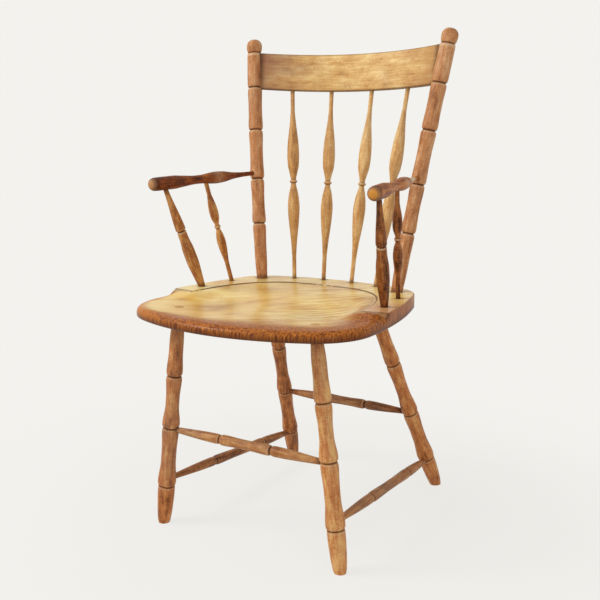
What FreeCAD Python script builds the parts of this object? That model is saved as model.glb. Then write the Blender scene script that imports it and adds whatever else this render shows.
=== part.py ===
import FreeCAD, Part
import math
import os

# Windsor armchair with bamboo-turned sticks and a saddled plank seat.
# Millimetres, +Z up, and the sitter looks along -Y. The model is laid out about the
# middle of the four feet, then moved so that the origin lies on the floor under the
# middle of the whole chair. Right is +X, as seen by someone who faces the chair.

# Seat plank
SEAT_HEIGHT = 435.0
SEAT_THICKNESS = 40.0
SEAT_HALF_WIDTH = 231.0
SEAT_FRONT = 329.0
SEAT_BACK = 122.0
FRONT_EDGE_RADIUS = 396.0
FRONT_CORNER_RADIUS = 106.0
SIDE_EDGE_RADIUS = 820.0
BACK_CORNER_RADIUS = 76.0
BACK_EDGE_RADIUS = 520.0
BEVEL_WIDTH = 60.0
BEVEL_HEIGHT = 14.0
EDGE_BAND = 7.0
ROLL_WIDTH = 13.0
DECK_EDGE_EASE = 2.5

# Saddle: the dish cut below the flat deck, and the scribed line that bounds it
DECK_FRONT = 136.0
DECK_TIP_INSET = 50.0
DECK_BACK_LINE = 55.0
LINE_FULLNESS = 3.0
LINE_TAPER = 0.14
SCRIBE_STEP = 1.6
SADDLE_FALL = 8.0
SADDLE_LENGTH = 250.0
SADDLE_EASE = 42.0
ROLL_RISE_WIDTH = 30.0
HOLLOW_DEPTH = 8.0
HOLLOW_SPACING = 190.0
HOLLOW_WIDTH = 78.0
HOLLOW_LENGTH = 100.0
HOLLOW_BEHIND_FRONT = 175.0

# Legs: where they stand, where they meet the underside, and their turning
FRONT_LEG_INSET = 86.0
FRONT_LEG_SPLAY = 47.0
FRONT_LEG_BEHIND_EDGE = 107.0
FRONT_LEG_RAKE = 0.0
REAR_LEG_INSET = 114.6
REAR_LEG_SPLAY = 60.6
REAR_LEG_BEFORE_EDGE = 78.8
REAR_LEG_RAKE = 178.8
FRONT_RING_PLACES = (0.194, 0.489, 0.744)
REAR_RING_PLACES = (0.169, 0.442, 0.723)
LEG_SWELLS = (16.8, 15.6, 14.2)
LEG_WAISTS = (14.2, 12.8, 12.6)
FOOT_RADIUS = 10.4
FOOT_SWELL = 15.6
LEG_NECK_RADIUS = 11.4
LEG_TENON_RADIUS = 9.6
REAR_TENON_DEPTH = 31.0
WEDGE_THICKNESS = 3.2
WEDGE_DEPTH = 26.0
WEDGE_PROUD = 2.0

# Stretchers: heights at the legs and turning
FRONT_STRETCHER_HEIGHT = 190.0
REAR_STRETCHER_HEIGHT = 174.0
SIDE_STRETCHER_FRONT_HEIGHT = 88.0
SIDE_STRETCHER_REAR_HEIGHT = 62.0
CROSS_RING_PLACES = (0.34, 0.66)
SIDE_RING_PLACES = (0.34, 0.74)
STRETCHER_SWELL = 10.0
STRETCHER_MIDDLE = 8.8
STRETCHER_END = 4.7
STRETCHER_TENON = 4.3
STRETCHER_PAST_AXIS = 2.0

# Back posts, bent backwards a little
POST_HEIGHT = 482.0
POST_INSET = 78.3
POST_SPLAY = 64.2
POST_BEFORE_EDGE = 60.6
POST_RAKE = 73.6
POST_BEND = 5.7
POST_RING_PLACES = (0.229, 0.416, 0.620, 0.797)
POST_SWELLS = (13.8, 14.2, 14.6, 14.9)
POST_WAISTS = (12.6, 12.9, 13.4, 13.9, 14.6)
POST_FOOT_RADIUS = 10.6
POST_TENON_RADIUS = 10.0
POST_TENON_DEPTH = 26.0
FINIAL_RADIUS = 15.8
FINIAL_HEIGHT = 28.5
FINIAL_NECK_RADIUS = 12.4

# Crest rail
CREST_HEIGHT = 73.0
CREST_THICKNESS = 13.0
CREST_BOW = 44.0
CREST_BELOW_POST_TOP = 63.5
CREST_TONGUE_THICKNESS = 9.0
CREST_TONGUE_HEIGHT = 58.0
CREST_TONGUE_PAST_AXIS = 4.0
CREST_PIN_RADIUS = 2.6

# Back spindles, two on each side of the middle
SPINDLE_FOOT_PLACES = (0.210, 0.609)
SPINDLE_TOP_PLACES = (0.217, 0.619)
SPINDLE_ROW_BEFORE_EDGE = 14.3
SPINDLE_RING_PLACE = 0.518
SPINDLE_SWELL = 12.3
SPINDLE_RING_RADIUS = 8.0
SPINDLE_RING_LENGTH = 4.6
SPINDLE_NECK = 4.9
SPINDLE_FOOT_RADIUS = 4.2
SPINDLE_TOP_RADIUS = 3.2
SPINDLE_FOOT_TENON = 3.8
SPINDLE_TOP_TENON = 2.9
SPINDLE_FOOT_DEPTH = 22.0
SPINDLE_TOP_DEPTH = 20.0

# Arms with their front posts and short spindles
ARM_HEIGHT = 201.5
ARM_RISE = 11.2
ARM_KNOB_INSET = 5.4
ARM_KNOB_BEHIND_EDGE = 147.2
ARM_KNOB_RADIUS = 12.6
ARM_WAIST_RADIUS = 8.3
ARM_SWELL_RADIUS = 11.7
ARM_TAIL_RADIUS = 4.6
ARM_TENON_RADIUS = 4.2
ARM_TENON_BEFORE_AXIS = 3.0
ARM_POST_INSET = 33.3
ARM_POST_BEHIND_EDGE = 246.7
ARM_POST_BEHIND_KNOB = 21.6
ARM_POST_RING_PLACE = 0.552
ARM_POST_SWELL = 10.6
ARM_POST_RING_SWELL = 9.4
ARM_POST_FOOT_RADIUS = 6.4
ARM_POST_TOP_RADIUS = 3.9
ARM_SPINDLE_INSET = 45.8
ARM_SPINDLE_BEHIND_EDGE = 328.4
ARM_SPINDLE_BEHIND_KNOB = 127.0
ARM_SPINDLE_RING_PLACE = 0.541
ARM_SPINDLE_SWELL = 8.9
ARM_SPINDLE_RING_RADIUS = 6.2
ARM_SPINDLE_NECK = 4.2
ARM_SPINDLE_FOOT_RADIUS = 4.1
ARM_SPINDLE_TOP_RADIUS = 3.3
ARM_STICK_TENON_SHARE = 0.88
ARM_STICK_DEPTH = 22.0

# Turning details and fits shared by every joint
STOUT_SIDES = 12
SLIM_SIDES = 8
GROOVE_DEPTH = 2.0
GROOVE_LIP = 3.4
RING_STEP = 1.0
FIT = 0.1
END_GAP = 0.6
SHOULDER_GAP = 0.4
SADDLE_GRID = 13
LINE_STEPS = 6
BULB_ROWS = 6
BULB_SLENDERNESS = 2.2
REACH = 1000.0

# Places that follow from the sizes above
SEAT_BOTTOM = SEAT_HEIGHT - SEAT_THICKNESS
DECK_TIP_X = SEAT_HALF_WIDTH - DECK_TIP_INSET
FRONT_LEG_TOP = (SEAT_HALF_WIDTH - FRONT_LEG_INSET, FRONT_LEG_BEHIND_EDGE - SEAT_FRONT)
FRONT_FOOT = (FRONT_LEG_TOP[0] + FRONT_LEG_SPLAY, FRONT_LEG_TOP[1] - FRONT_LEG_RAKE)
REAR_LEG_TOP = (SEAT_HALF_WIDTH - REAR_LEG_INSET, SEAT_BACK - REAR_LEG_BEFORE_EDGE)
REAR_FOOT = (REAR_LEG_TOP[0] + REAR_LEG_SPLAY, REAR_LEG_TOP[1] + REAR_LEG_RAKE)
POST_FOOT = (SEAT_HALF_WIDTH - POST_INSET, SEAT_BACK - POST_BEFORE_EDGE)
POST_TOP = (POST_FOOT[0] + POST_SPLAY, POST_FOOT[1] + POST_RAKE)
CREST_POST_HEIGHT = POST_HEIGHT - CREST_BELOW_POST_TOP
SPINDLE_ROW_BACK = SEAT_BACK - SPINDLE_ROW_BEFORE_EDGE
ARM_FRONT = (SEAT_HALF_WIDTH - ARM_KNOB_INSET, ARM_KNOB_BEHIND_EDGE - SEAT_FRONT)
ARM_POST_FOOT = (SEAT_HALF_WIDTH - ARM_POST_INSET, ARM_POST_BEHIND_EDGE - SEAT_FRONT)
ARM_SPINDLE_FOOT = (SEAT_HALF_WIDTH - ARM_SPINDLE_INSET, ARM_SPINDLE_BEHIND_EDGE - SEAT_FRONT)
UP = FreeCAD.Vector(0, 0, 1)


def vec(x, y, z):
    return FreeCAD.Vector(x, y, z)


def unit(vector):
    return vector / vector.Length


def between(start, end, share):
    return start + (end - start) * share


def at_height(start, end, height):
    """The point of the line from start to end at a given height."""
    return between(start, end, (height - start.z) / (end.z - start.z))


def mirrored(shape):
    return shape.mirror(vec(0, 0, 0), vec(1, 0, 0))


def bored(shape, holes):
    """The shape with its sockets cut one after another."""
    for hole in holes:
        shape = shape.cut(hole)
    return shape


# Turned sticks


def corner_reach(sides):
    """How far a section's corners stand out, as a share of the radius of the same area."""
    turn = 2 * math.pi / sides
    return math.sqrt(turn / math.sin(turn))


def polygon(centre, across, beside, radius, sides):
    """Corners of a regular section whose area is that of a circle of the given radius."""
    turn = 2 * math.pi / sides
    reach = radius * corner_reach(sides)
    corners = []
    for i in range(sides):
        angle = turn * (i + 0.5)
        corners.append(centre + across * (reach * math.cos(angle)) + beside * (reach * math.sin(angle)))
    return corners


def flat(corners):
    return Part.Face(Part.makePolygon(corners + corners[:1]))


def turned(start, end, stations, sides, bend=None):
    """A faceted turning from start to end.

    stations holds (distance from start, radius) pairs. A bend is how far the middle of
    the stick is pushed sideways, and the sections stay square to the straight line.
    """
    axis = unit(end - start)
    length = (end - start).Length
    side = vec(1, 0, 0) if abs(axis.x) < 0.7 else vec(0, 1, 0)
    across = unit(side - axis * side.dot(axis))
    beside = axis.cross(across)
    rings = []
    for distance, radius in stations:
        share = distance / length
        centre = start + axis * distance
        if bend is not None:
            centre = centre + bend * (4 * share * (1 - share))
        rings.append(polygon(centre, across, beside, radius, sides))
    faces = [flat(rings[0]), flat(rings[-1])]
    for low, high in zip(rings, rings[1:]):
        for i in range(sides):
            j = (i + 1) % sides
            faces.append(flat([low[i], low[j], high[j], high[i]]))
    solid = Part.makeSolid(Part.makeShell(faces))
    if solid.Volume < 0:
        solid.reverse()
    return solid


def rod(start, end, radius):
    return Part.makeCylinder(radius, (end - start).Length, start, end - start)


def bamboo(first, last, rings, swells, waists):
    """Stations of a bamboo turning between two (distance, radius) ends.

    Each ring is a scribed groove. A segment is widest just above its lower ring, hollows
    to its waist and swells again below the next ring.
    """
    stations = [first]
    floor = first[0]
    marks = list(zip(rings, swells)) + [None]
    for number, mark in enumerate(marks):
        roof = mark[0] if mark else last[0]
        waist = waists[number]
        if waist:
            stations.append((floor + (roof - floor) * 0.36, waist))
            stations.append((floor + (roof - floor) * 0.62, waist))
        if mark:
            ring, swell = mark
            stations.append((ring - GROOVE_LIP, swell - RING_STEP))
            stations.append((ring, swell - RING_STEP - GROOVE_DEPTH))
            stations.append((ring + GROOVE_LIP, swell))
            floor = ring
    stations.append(last)
    return stations


def clear_of(host_radius, host_way, own_radius, own_way):
    """How far from its host's axis a stick's square end has to stop to stay outside the host."""
    slope = abs(unit(host_way).dot(unit(own_way)))
    square = math.sqrt(1 - slope ** 2)
    outside = host_radius * corner_reach(STOUT_SIDES) + own_radius * slope
    return outside / square + SHOULDER_GAP


class Stick:
    """A turned stick: its axis, the stations of what shows, and a tenon at either end.

    A tenon is given as (distance of its far end, radius).
    """

    def __init__(self, axis, stations, low=None, high=None, sides=SLIM_SIDES, bend=None):
        self.foot, self.top = axis
        self.stations = stations
        self.low, self.high = low, high
        self.sides, self.bend = sides, bend

    def section(self, stations):
        return turned(self.foot, self.top, stations, self.sides, self.bend)

    def solid(self):
        stations = list(self.stations)
        if self.low:
            stations = [self.low, (stations[0][0], self.low[1])] + stations
        if self.high:
            stations = stations + [(stations[-1][0], self.high[1]), self.high]
        return self.section(stations)

    def low_socket(self):
        end, radius = self.low
        return self.section([(end - END_GAP, radius + FIT), (self.stations[0][0], radius + FIT)])

    def high_socket(self):
        end, radius = self.high
        return self.section([(self.stations[-1][0], radius + FIT), (end + END_GAP, radius + FIT)])


def squeezed(stations, start, stop):
    """Stations moved so that they run from start to stop."""
    first, last = stations[0][0], stations[-1][0]
    scale = (stop - start) / (last - first)
    return [(start + (distance - first) * scale, radius) for distance, radius in stations]


def bulb(near, far, swell, peak, rows):
    """Stations of one long bulb, fullest at the share peak of the way to its far end."""
    skew = math.log(0.5) / math.log(peak)
    stations = []
    for i in range(1, rows):
        share = i / rows
        fullness = math.sin(math.pi * share ** skew) ** BULB_SLENDERNESS
        lean = near[1] + (far[1] - near[1]) * share
        distance = near[0] + (far[0] - near[0]) * share
        stations.append((distance, lean + (swell - lean) * fullness))
    return stations


def ringed_spindle(length, place, foot, top, neck, swell, ring):
    """Stations of a spindle with two bulbs and a small ring between them."""
    middle = length * place
    half = SPINDLE_RING_LENGTH / 2
    lower = bulb((middle - half, neck), (0.0, foot), swell, 0.27, BULB_ROWS)
    upper = bulb((middle + half, neck), (length, top), swell, 0.30, BULB_ROWS)
    stations = [(0.0, foot)] + lower[::-1]
    stations += [(middle - half, neck), (middle - half / 3, ring), (middle + half / 3, ring)]
    stations += [(middle + half, neck)] + upper + [(length, top)]
    return stations


# Seat plank


def edge_arcs():
    """Centres and radii of the tangent arcs of the seat's outline, right half, front to back."""
    front = vec(0, FRONT_EDGE_RADIUS - SEAT_FRONT, 0)
    corner_x = SEAT_HALF_WIDTH - FRONT_CORNER_RADIUS
    reach = FRONT_EDGE_RADIUS - FRONT_CORNER_RADIUS
    corner = vec(corner_x, front.y - math.sqrt(reach ** 2 - corner_x ** 2), 0)
    side = vec(SEAT_HALF_WIDTH - SIDE_EDGE_RADIUS, corner.y, 0)
    back = vec(0, SEAT_BACK - BACK_EDGE_RADIUS, 0)
    rear = meeting(
        side, SIDE_EDGE_RADIUS - BACK_CORNER_RADIUS, back, BACK_EDGE_RADIUS - BACK_CORNER_RADIUS
    )
    return [
        (front, FRONT_EDGE_RADIUS),
        (corner, FRONT_CORNER_RADIUS),
        (side, SIDE_EDGE_RADIUS),
        (rear, BACK_CORNER_RADIUS),
        (back, BACK_EDGE_RADIUS),
    ]


def meeting(first, first_radius, second, second_radius):
    """The point at two given distances from two centres, on the right and to the back."""
    apart = (second - first).Length
    toward = unit(second - first)
    along = (apart ** 2 + first_radius ** 2 - second_radius ** 2) / (2 * apart)
    square = math.sqrt(first_radius ** 2 - along ** 2)
    return first + toward * along + vec(-toward.y, toward.x, 0) * square


def tangent_directions(arcs):
    """Directions from the arcs' centres to the points where each arc meets the next."""
    directions = []
    for (centre, radius), (other, other_radius) in zip(arcs, arcs[1:]):
        inward = other - centre if radius > other_radius else centre - other
        directions.append(unit(inward))
    return directions


def outline(inset, height):
    """The seat's outline at a height, moved inwards everywhere by inset."""
    arcs = edge_arcs()
    joins = tangent_directions(arcs)
    starts = [vec(0, -1, 0)] + joins
    ends = joins + [vec(0, 1, 0)]
    right = []
    for (centre, radius), start, end in zip(arcs, starts, ends):
        middle = unit(start + end)
        points = [centre + direction * (radius - inset) for direction in (start, middle, end)]
        right.append([point + UP * height for point in points])
    left = [[vec(-p.x, p.y, p.z) for p in points[::-1]] for points in right[::-1]]
    front = [left[-1][0], right[0][0], right[0][2]]
    back = [right[-1][0], left[0][0], left[0][2]]
    loops = [front] + right[1:-1] + [back] + left[1:-1]
    return Part.Wire([Part.Arc(*points).toShape() for points in loops])


def rolled_plank():
    """The lower body: bevelled beneath, rolled over at the top of its front edge."""
    top = SEAT_HEIGHT - SADDLE_FALL
    bevel_top = SEAT_BOTTOM + BEVEL_HEIGHT
    roll = top - bevel_top - EDGE_BAND
    levels = [
        (BEVEL_WIDTH, SEAT_BOTTOM),
        (0, bevel_top),
        (0, bevel_top + EDGE_BAND),
        (ROLL_WIDTH * 0.3, bevel_top + EDGE_BAND + roll * 0.65),
        (ROLL_WIDTH, top),
        (ROLL_RISE_WIDTH, SEAT_HEIGHT),
    ]
    return Part.makeLoft([outline(*level) for level in levels], True, True)


def deck_plank():
    """The full height that is left round the back and the sides."""
    levels = [
        (BEVEL_WIDTH, SEAT_BOTTOM),
        (0, SEAT_BOTTOM + BEVEL_HEIGHT),
        (0, SEAT_HEIGHT - DECK_EDGE_EASE),
        (DECK_EDGE_EASE, SEAT_HEIGHT),
    ]
    whole = Part.makeLoft([outline(*level) for level in levels], True, True)
    behind = Part.makeBox(REACH, REACH, REACH, vec(-REACH / 2, -DECK_FRONT, 0))
    return whole.common(behind)


def smooth(share):
    """A share held between 0 and 1 that leaves both ends level."""
    share = min(max(share, 0.0), 1.0)
    return share ** 2 * (3 - 2 * share)


def inside_line(x, y):
    """How far a place lies inside the scribed line, or in front of the deck's ends."""
    along = (y + DECK_FRONT) / (DECK_BACK_LINE + DECK_FRONT)
    if along <= 0:
        return math.hypot(max(0.0, DECK_TIP_X - abs(x)), y + DECK_FRONT)
    across = abs(x) / (DECK_TIP_X * (1 - LINE_TAPER * min(along, 1.0)))
    reach = (along ** LINE_FULLNESS + across ** LINE_FULLNESS) ** (1 / LINE_FULLNESS)
    return max(0.0, (1 - reach) * DECK_TIP_X)


def saddle_height(x, y):
    """Height of the dished surface: it falls from the scribed line into two thigh hollows."""
    fall = (SADDLE_FALL - SCRIBE_STEP) * smooth((DECK_BACK_LINE - y) / SADDLE_LENGTH)
    length = math.exp(-((y + SEAT_FRONT - HOLLOW_BEHIND_FRONT) / HOLLOW_LENGTH) ** 2)
    width = 0.0
    for side in (-1, 1):
        width += math.exp(-((x - side * HOLLOW_SPACING / 2) / HOLLOW_WIDTH) ** 2)
    depth = (fall + HOLLOW_DEPTH * width * length) * smooth(inside_line(x, y) / SADDLE_EASE)
    return SEAT_HEIGHT - SCRIBE_STEP - depth


def line_point(turn):
    """A point of the scribed line's right half; turn is 0 at its tip and 90 at the back."""
    along, across = (
        abs(wave(math.radians(turn))) ** (2 / LINE_FULLNESS) for wave in (math.sin, math.cos)
    )
    x = DECK_TIP_X * (1 - LINE_TAPER * along) * across
    return vec(x, (DECK_BACK_LINE + DECK_FRONT) * along - DECK_FRONT, 0)


def scribed_line():
    """The line round the inside of the deck, from its left tip over the back to its right tip."""
    right = [line_point(90 * k / LINE_STEPS) for k in range(LINE_STEPS + 1)]
    left = [vec(-p.x, p.y, 0) for p in right]
    curve = Part.BSplineCurve()
    curve.interpolate(left + right[-2::-1])
    return curve.toShape()


def saddle_cutter():
    """Everything above the dished surface, inside the scribed line and out past the front."""
    half = SEAT_HALF_WIDTH + ROLL_WIDTH
    low = -SEAT_FRONT - ROLL_WIDTH
    deep = SEAT_BACK - low
    grid = []
    for i in range(SADDLE_GRID + 1):
        x = -half + 2 * half * i / SADDLE_GRID
        column = []
        for j in range(SADDLE_GRID + 1):
            y = low + deep * j / SADDLE_GRID
            column.append(vec(x, y, saddle_height(x, y)))
        grid.append(column)
    surface = Part.BSplineSurface()
    surface.interpolate(grid)
    above = surface.toShape().extrude(UP * SEAT_THICKNESS)
    tip = vec(DECK_TIP_X, -DECK_FRONT, 0)
    corners = [tip, vec(half - 1, tip.y, 0), vec(half - 1, low + 1, 0)]
    path = corners + [vec(-p.x, p.y, 0) for p in corners[::-1]]
    plan = Part.Face(Part.Wire([scribed_line(), Part.makePolygon(path)]))
    return above.common(plan.extrude(UP * REACH))


# Sticks that stand on the seat or hold it up


def front_leg_axis():
    return vec(*FRONT_FOOT, 0), vec(*FRONT_LEG_TOP, SEAT_BOTTOM)


def rear_leg_axis():
    return vec(*REAR_FOOT, 0), vec(*REAR_LEG_TOP, SEAT_BOTTOM)


def shoulder(radius, direction):
    """How far a slanted stick's square end stops short of the level face that it enters."""
    lean = unit(direction)
    return SHOULDER_GAP + radius * math.hypot(lean.x, lean.y) / abs(lean.z)


def leg(axis, ring_places, tenon_top):
    """A leg that runs past the floor, ready to be sawn level, with a tenon up to a height."""
    foot, top = axis
    length = (top - foot).Length
    slant = length / (top.z - foot.z)
    rings = [length * place for place in ring_places]
    neck = (length - shoulder(LEG_NECK_RADIUS, top - foot), LEG_NECK_RADIUS)
    toe = (-2 * FOOT_RADIUS, FOOT_RADIUS)
    stations = bamboo(toe, neck, rings, LEG_SWELLS, (None,) + LEG_WAISTS)
    stations[1:1] = [
        (0.0, FOOT_RADIUS),
        (FOOT_RADIUS * 0.9, FOOT_SWELL * 0.88),
        (rings[0] * 0.55, FOOT_SWELL * 0.95),
    ]
    return Stick(axis, stations, high=(tenon_top * slant, LEG_TENON_RADIUS), sides=STOUT_SIDES)


def post_point(height):
    """A point on a back post's axis at a height above the deck."""
    share = height / POST_HEIGHT
    foot, top = vec(*POST_FOOT, SEAT_HEIGHT), vec(*POST_TOP, SEAT_HEIGHT + POST_HEIGHT)
    return between(foot, top, share) - vec(0, POST_BEND * 4 * share * (1 - share), 0)


def post_direction(height):
    return unit(post_point(height + 1) - post_point(height - 1))


def back_post():
    """A back post with its scribed rings and the ball at its top."""
    foot, top = post_point(0), post_point(POST_HEIGHT)
    length = (top - foot).Length
    rings = [length * place for place in POST_RING_PLACES]
    neck = length - FINIAL_HEIGHT
    start = (shoulder(POST_FOOT_RADIUS, post_direction(1)), POST_FOOT_RADIUS)
    stations = bamboo(start, (neck, FINIAL_NECK_RADIUS), rings, POST_SWELLS, POST_WAISTS)
    stations.insert(-1, (neck - GROOVE_LIP, POST_SWELLS[-1] - RING_STEP / 2))
    ball = ((0.12, 0.88), (0.3, 0.985), (0.5, 1.0), (0.72, 0.88), (0.9, 0.6), (1.0, 0.28))
    for share, fullness in ball:
        stations.append((neck + FINIAL_HEIGHT * share, FINIAL_RADIUS * fullness))
    tenon = (-POST_TENON_DEPTH, POST_TENON_RADIUS)
    bend = vec(0, -POST_BEND, 0)
    return Stick((foot, top), stations, low=tenon, sides=STOUT_SIDES, bend=bend)


def row_point(x):
    """A point of the deck on the arc that the back's sticks stand on."""
    half, depth = POST_FOOT[0], SPINDLE_ROW_BACK - POST_FOOT[1]
    radius = (half ** 2 + depth ** 2) / (2 * depth)
    return vec(x, SPINDLE_ROW_BACK - radius + math.sqrt(radius ** 2 - x ** 2), SEAT_HEIGHT)


# Crest rail: a board bent to an arc that lies square to the leaning back


def crest_frame():
    """Middle of the chord between the posts, the board's up direction and its backward one."""
    hold = post_point(CREST_POST_HEIGHT)
    lean = post_direction(CREST_POST_HEIGHT)
    rise = unit(vec(0, lean.y, lean.z))
    rearward = vec(0, rise.z, -rise.y)
    radius = (hold.x ** 2 + CREST_BOW ** 2) / (2 * CREST_BOW)
    return vec(0, hold.y, hold.z), rise, rearward, radius


def crest_point(x, up):
    """A point in the middle of the board's thickness, up being measured from mid-height."""
    middle, rise, rearward, radius = crest_frame()
    bow = CREST_BOW - radius + math.sqrt(radius ** 2 - x ** 2)
    return middle + vec(x, 0, 0) + rearward * bow + rise * up


def crest_board(thickness, height):
    """The bent board, long enough to run past both posts."""
    middle, rise, rearward, radius = crest_frame()
    centre = middle + rearward * (CREST_BOW - radius) - rise * (height / 2)
    half = post_point(CREST_POST_HEIGHT).x + 3 * FINIAL_RADIUS
    angle = math.asin(half / radius)
    arcs = []
    for distance in (radius - thickness / 2, radius + thickness / 2):
        points = []
        for turn in (-angle, 0, angle):
            toward = vec(1, 0, 0) * math.sin(turn) + rearward * math.cos(turn)
            points.append(centre + toward * distance)
        arcs.append(Part.Arc(*points))
    inner, outer = arcs
    right_end = Part.makeLine(inner.EndPoint, outer.EndPoint)
    left_end = Part.makeLine(outer.StartPoint, inner.StartPoint)
    outer.reverse()
    plan = Part.Face(Part.Wire([inner.toShape(), right_end, outer.toShape(), left_end]))
    return plan.extrude(rise * height)


def between_posts(shape, past_axis):
    """What lies between two planes that run along the posts, past_axis beyond their axes."""
    hold = post_point(CREST_POST_HEIGHT)
    lean = post_direction(CREST_POST_HEIGHT)
    normal = unit(vec(1, 0, 0) - lean * lean.x)
    beyond = rod(hold + normal * past_axis, hold + normal * REACH, REACH / 2)
    return shape.cut([beyond, mirrored(beyond)])


def crest_mortises():
    """The slots for the rail's tongues, cut into both posts."""
    tongue = crest_board(CREST_TONGUE_THICKNESS + 2 * FIT, CREST_TONGUE_HEIGHT + 2 * FIT)
    return between_posts(tongue, CREST_TONGUE_PAST_AXIS + END_GAP)


def crest_rail():
    """The board coped to the posts, with a tongue at each end."""
    hold = post_point(CREST_POST_HEIGHT)
    lean = post_direction(CREST_POST_HEIGHT)
    cope = POST_SWELLS[-1] * corner_reach(STOUT_SIDES) + SHOULDER_GAP
    around = rod(hold - lean * CREST_HEIGHT, hold + lean * CREST_HEIGHT, cope)
    board = between_posts(crest_board(CREST_THICKNESS, CREST_HEIGHT), 0)
    board = board.cut([around, mirrored(around)])
    middle = max(board.Solids, key=lambda solid: solid.Volume)
    tongue = crest_board(CREST_TONGUE_THICKNESS, CREST_TONGUE_HEIGHT)
    return middle.fuse(between_posts(tongue, CREST_TONGUE_PAST_AXIS))


def crest_pin(radius):
    """The pin driven into a post from behind, through the rail's tongue."""
    hold = post_point(CREST_POST_HEIGHT)
    lean = post_direction(CREST_POST_HEIGHT)
    rearward = unit(vec(0, 1, 0) - lean * lean.y)
    inner = hold - rearward * CREST_TONGUE_THICKNESS
    return rod(inner, hold + rearward * (POST_SWELLS[-1] * 0.98), radius)


# Sticks of the back, the arms and the base


def stretcher(first, second, first_way, second_way, ring_places):
    """A stretcher between two legs, given by points on their axes and their directions."""
    length = (second - first).Length
    rings = [length * place for place in ring_places]
    halfway = (STRETCHER_END + STRETCHER_SWELL) / 2
    swells = (STRETCHER_SWELL, STRETCHER_SWELL)
    end = (length, STRETCHER_END)
    stations = bamboo((0.0, STRETCHER_END), end, rings, swells, (None, STRETCHER_MIDDLE, None))
    stations.insert(1, (rings[0] * 0.5, halfway))
    stations.insert(-1, ((rings[1] + length) / 2, halfway))
    start = clear_of(LEG_SWELLS[0], first_way, STRETCHER_END, second - first)
    stop = length - clear_of(LEG_SWELLS[0], second_way, STRETCHER_END, second - first)
    low = (STRETCHER_PAST_AXIS, STRETCHER_TENON)
    high = (length - STRETCHER_PAST_AXIS, STRETCHER_TENON)
    return Stick((first, second), squeezed(stations, start, stop), low, high)


def back_spindle(foot_place, top_place):
    """A spindle whose ends lie at shares of the way from the middle out to a post."""
    foot = row_point(POST_FOOT[0] * foot_place)
    top = crest_point(post_point(CREST_POST_HEIGHT).x * top_place, -CREST_HEIGHT / 2)
    length = (top - foot).Length
    stations = ringed_spindle(
        length, SPINDLE_RING_PLACE, SPINDLE_FOOT_RADIUS, SPINDLE_TOP_RADIUS,
        SPINDLE_NECK, SPINDLE_SWELL, SPINDLE_RING_RADIUS,
    )
    start = shoulder(SPINDLE_FOOT_RADIUS, top - foot)
    stations = squeezed(stations, start, length - 2 * SHOULDER_GAP)
    low = (-SPINDLE_FOOT_DEPTH, SPINDLE_FOOT_TENON)
    return Stick((foot, top), stations, low, (length + SPINDLE_TOP_DEPTH, SPINDLE_TOP_TENON))


def arm_axis():
    return vec(*ARM_FRONT, SEAT_HEIGHT + ARM_HEIGHT), post_point(ARM_HEIGHT + ARM_RISE)


def arm():
    """From the knob back to the post: a handle, a waist, a swell over the spindle, a thin tail."""
    knob, hold = arm_axis()
    length = (hold - knob).Length
    tip = -ARM_KNOB_RADIUS * 0.85
    way = post_direction(ARM_HEIGHT + ARM_RISE)
    tail = length - clear_of(POST_SWELLS[1], way, ARM_TAIL_RADIUS, hold - knob)
    stations = [
        (tip, ARM_KNOB_RADIUS * 0.42),
        (tip * 0.85, ARM_KNOB_RADIUS * 0.72),
        (tip * 0.45, ARM_KNOB_RADIUS * 0.93),
        (0.0, ARM_KNOB_RADIUS),
        (tail * 0.18, ARM_KNOB_RADIUS * 0.95),
        (tail * 0.27, ARM_WAIST_RADIUS * 1.12),
        (tail * 0.38, ARM_WAIST_RADIUS),
        (tail * 0.48, ARM_WAIST_RADIUS * 1.16),
        (tail * 0.56, ARM_SWELL_RADIUS),
        (tail * 0.63, ARM_SWELL_RADIUS * 0.93),
        (tail * 0.76, ARM_TAIL_RADIUS * 1.45),
        (tail * 0.90, ARM_TAIL_RADIUS * 0.96),
        (tail, ARM_TAIL_RADIUS),
    ]
    tenon = (length - ARM_TENON_BEFORE_AXIS, ARM_TENON_RADIUS)
    return Stick((knob, hold), stations, high=tenon, sides=STOUT_SIDES)


def arm_stick(foot, behind_knob, foot_radius, top_radius, arm_radius, turning):
    """A stick from the deck up into the arm. turning gives its stations for a length."""
    knob, hold = arm_axis()
    low = vec(*foot, SEAT_HEIGHT)
    high = knob + unit(hold - knob) * behind_knob
    length = (high - low).Length
    start = shoulder(foot_radius, high - low)
    stop = length - clear_of(arm_radius, hold - knob, top_radius, high - low)
    stations = squeezed(turning(length), start, stop)
    low_tenon = (-ARM_STICK_DEPTH, foot_radius * ARM_STICK_TENON_SHARE)
    return Stick((low, high), stations, low_tenon, (length, top_radius * ARM_STICK_TENON_SHARE))


def arm_post_turning(length):
    """Two bamboo segments: the lower one bellied, the upper one tapering to the arm."""
    ring = length * ARM_POST_RING_PLACE
    first, last = (0.0, ARM_POST_FOOT_RADIUS), (length, ARM_POST_TOP_RADIUS)
    stations = bamboo(first, last, [ring], [ARM_POST_RING_SWELL], (None, None))
    near = (ring - GROOVE_LIP, ARM_POST_RING_SWELL - RING_STEP)
    stations[1:1] = bulb(near, first, ARM_POST_SWELL, 0.45, BULB_ROWS - 1)[::-1]
    stations.insert(-1, (ring + (length - ring) * 0.35, ARM_POST_RING_SWELL * 0.86))
    stations.insert(-1, (ring + (length - ring) * 0.70, ARM_POST_TOP_RADIUS * 1.35))
    return stations


def arm_spindle_turning(length):
    return ringed_spindle(
        length, ARM_SPINDLE_RING_PLACE, ARM_SPINDLE_FOOT_RADIUS, ARM_SPINDLE_TOP_RADIUS,
        ARM_SPINDLE_NECK, ARM_SPINDLE_SWELL, ARM_SPINDLE_RING_RADIUS,
    )


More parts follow.
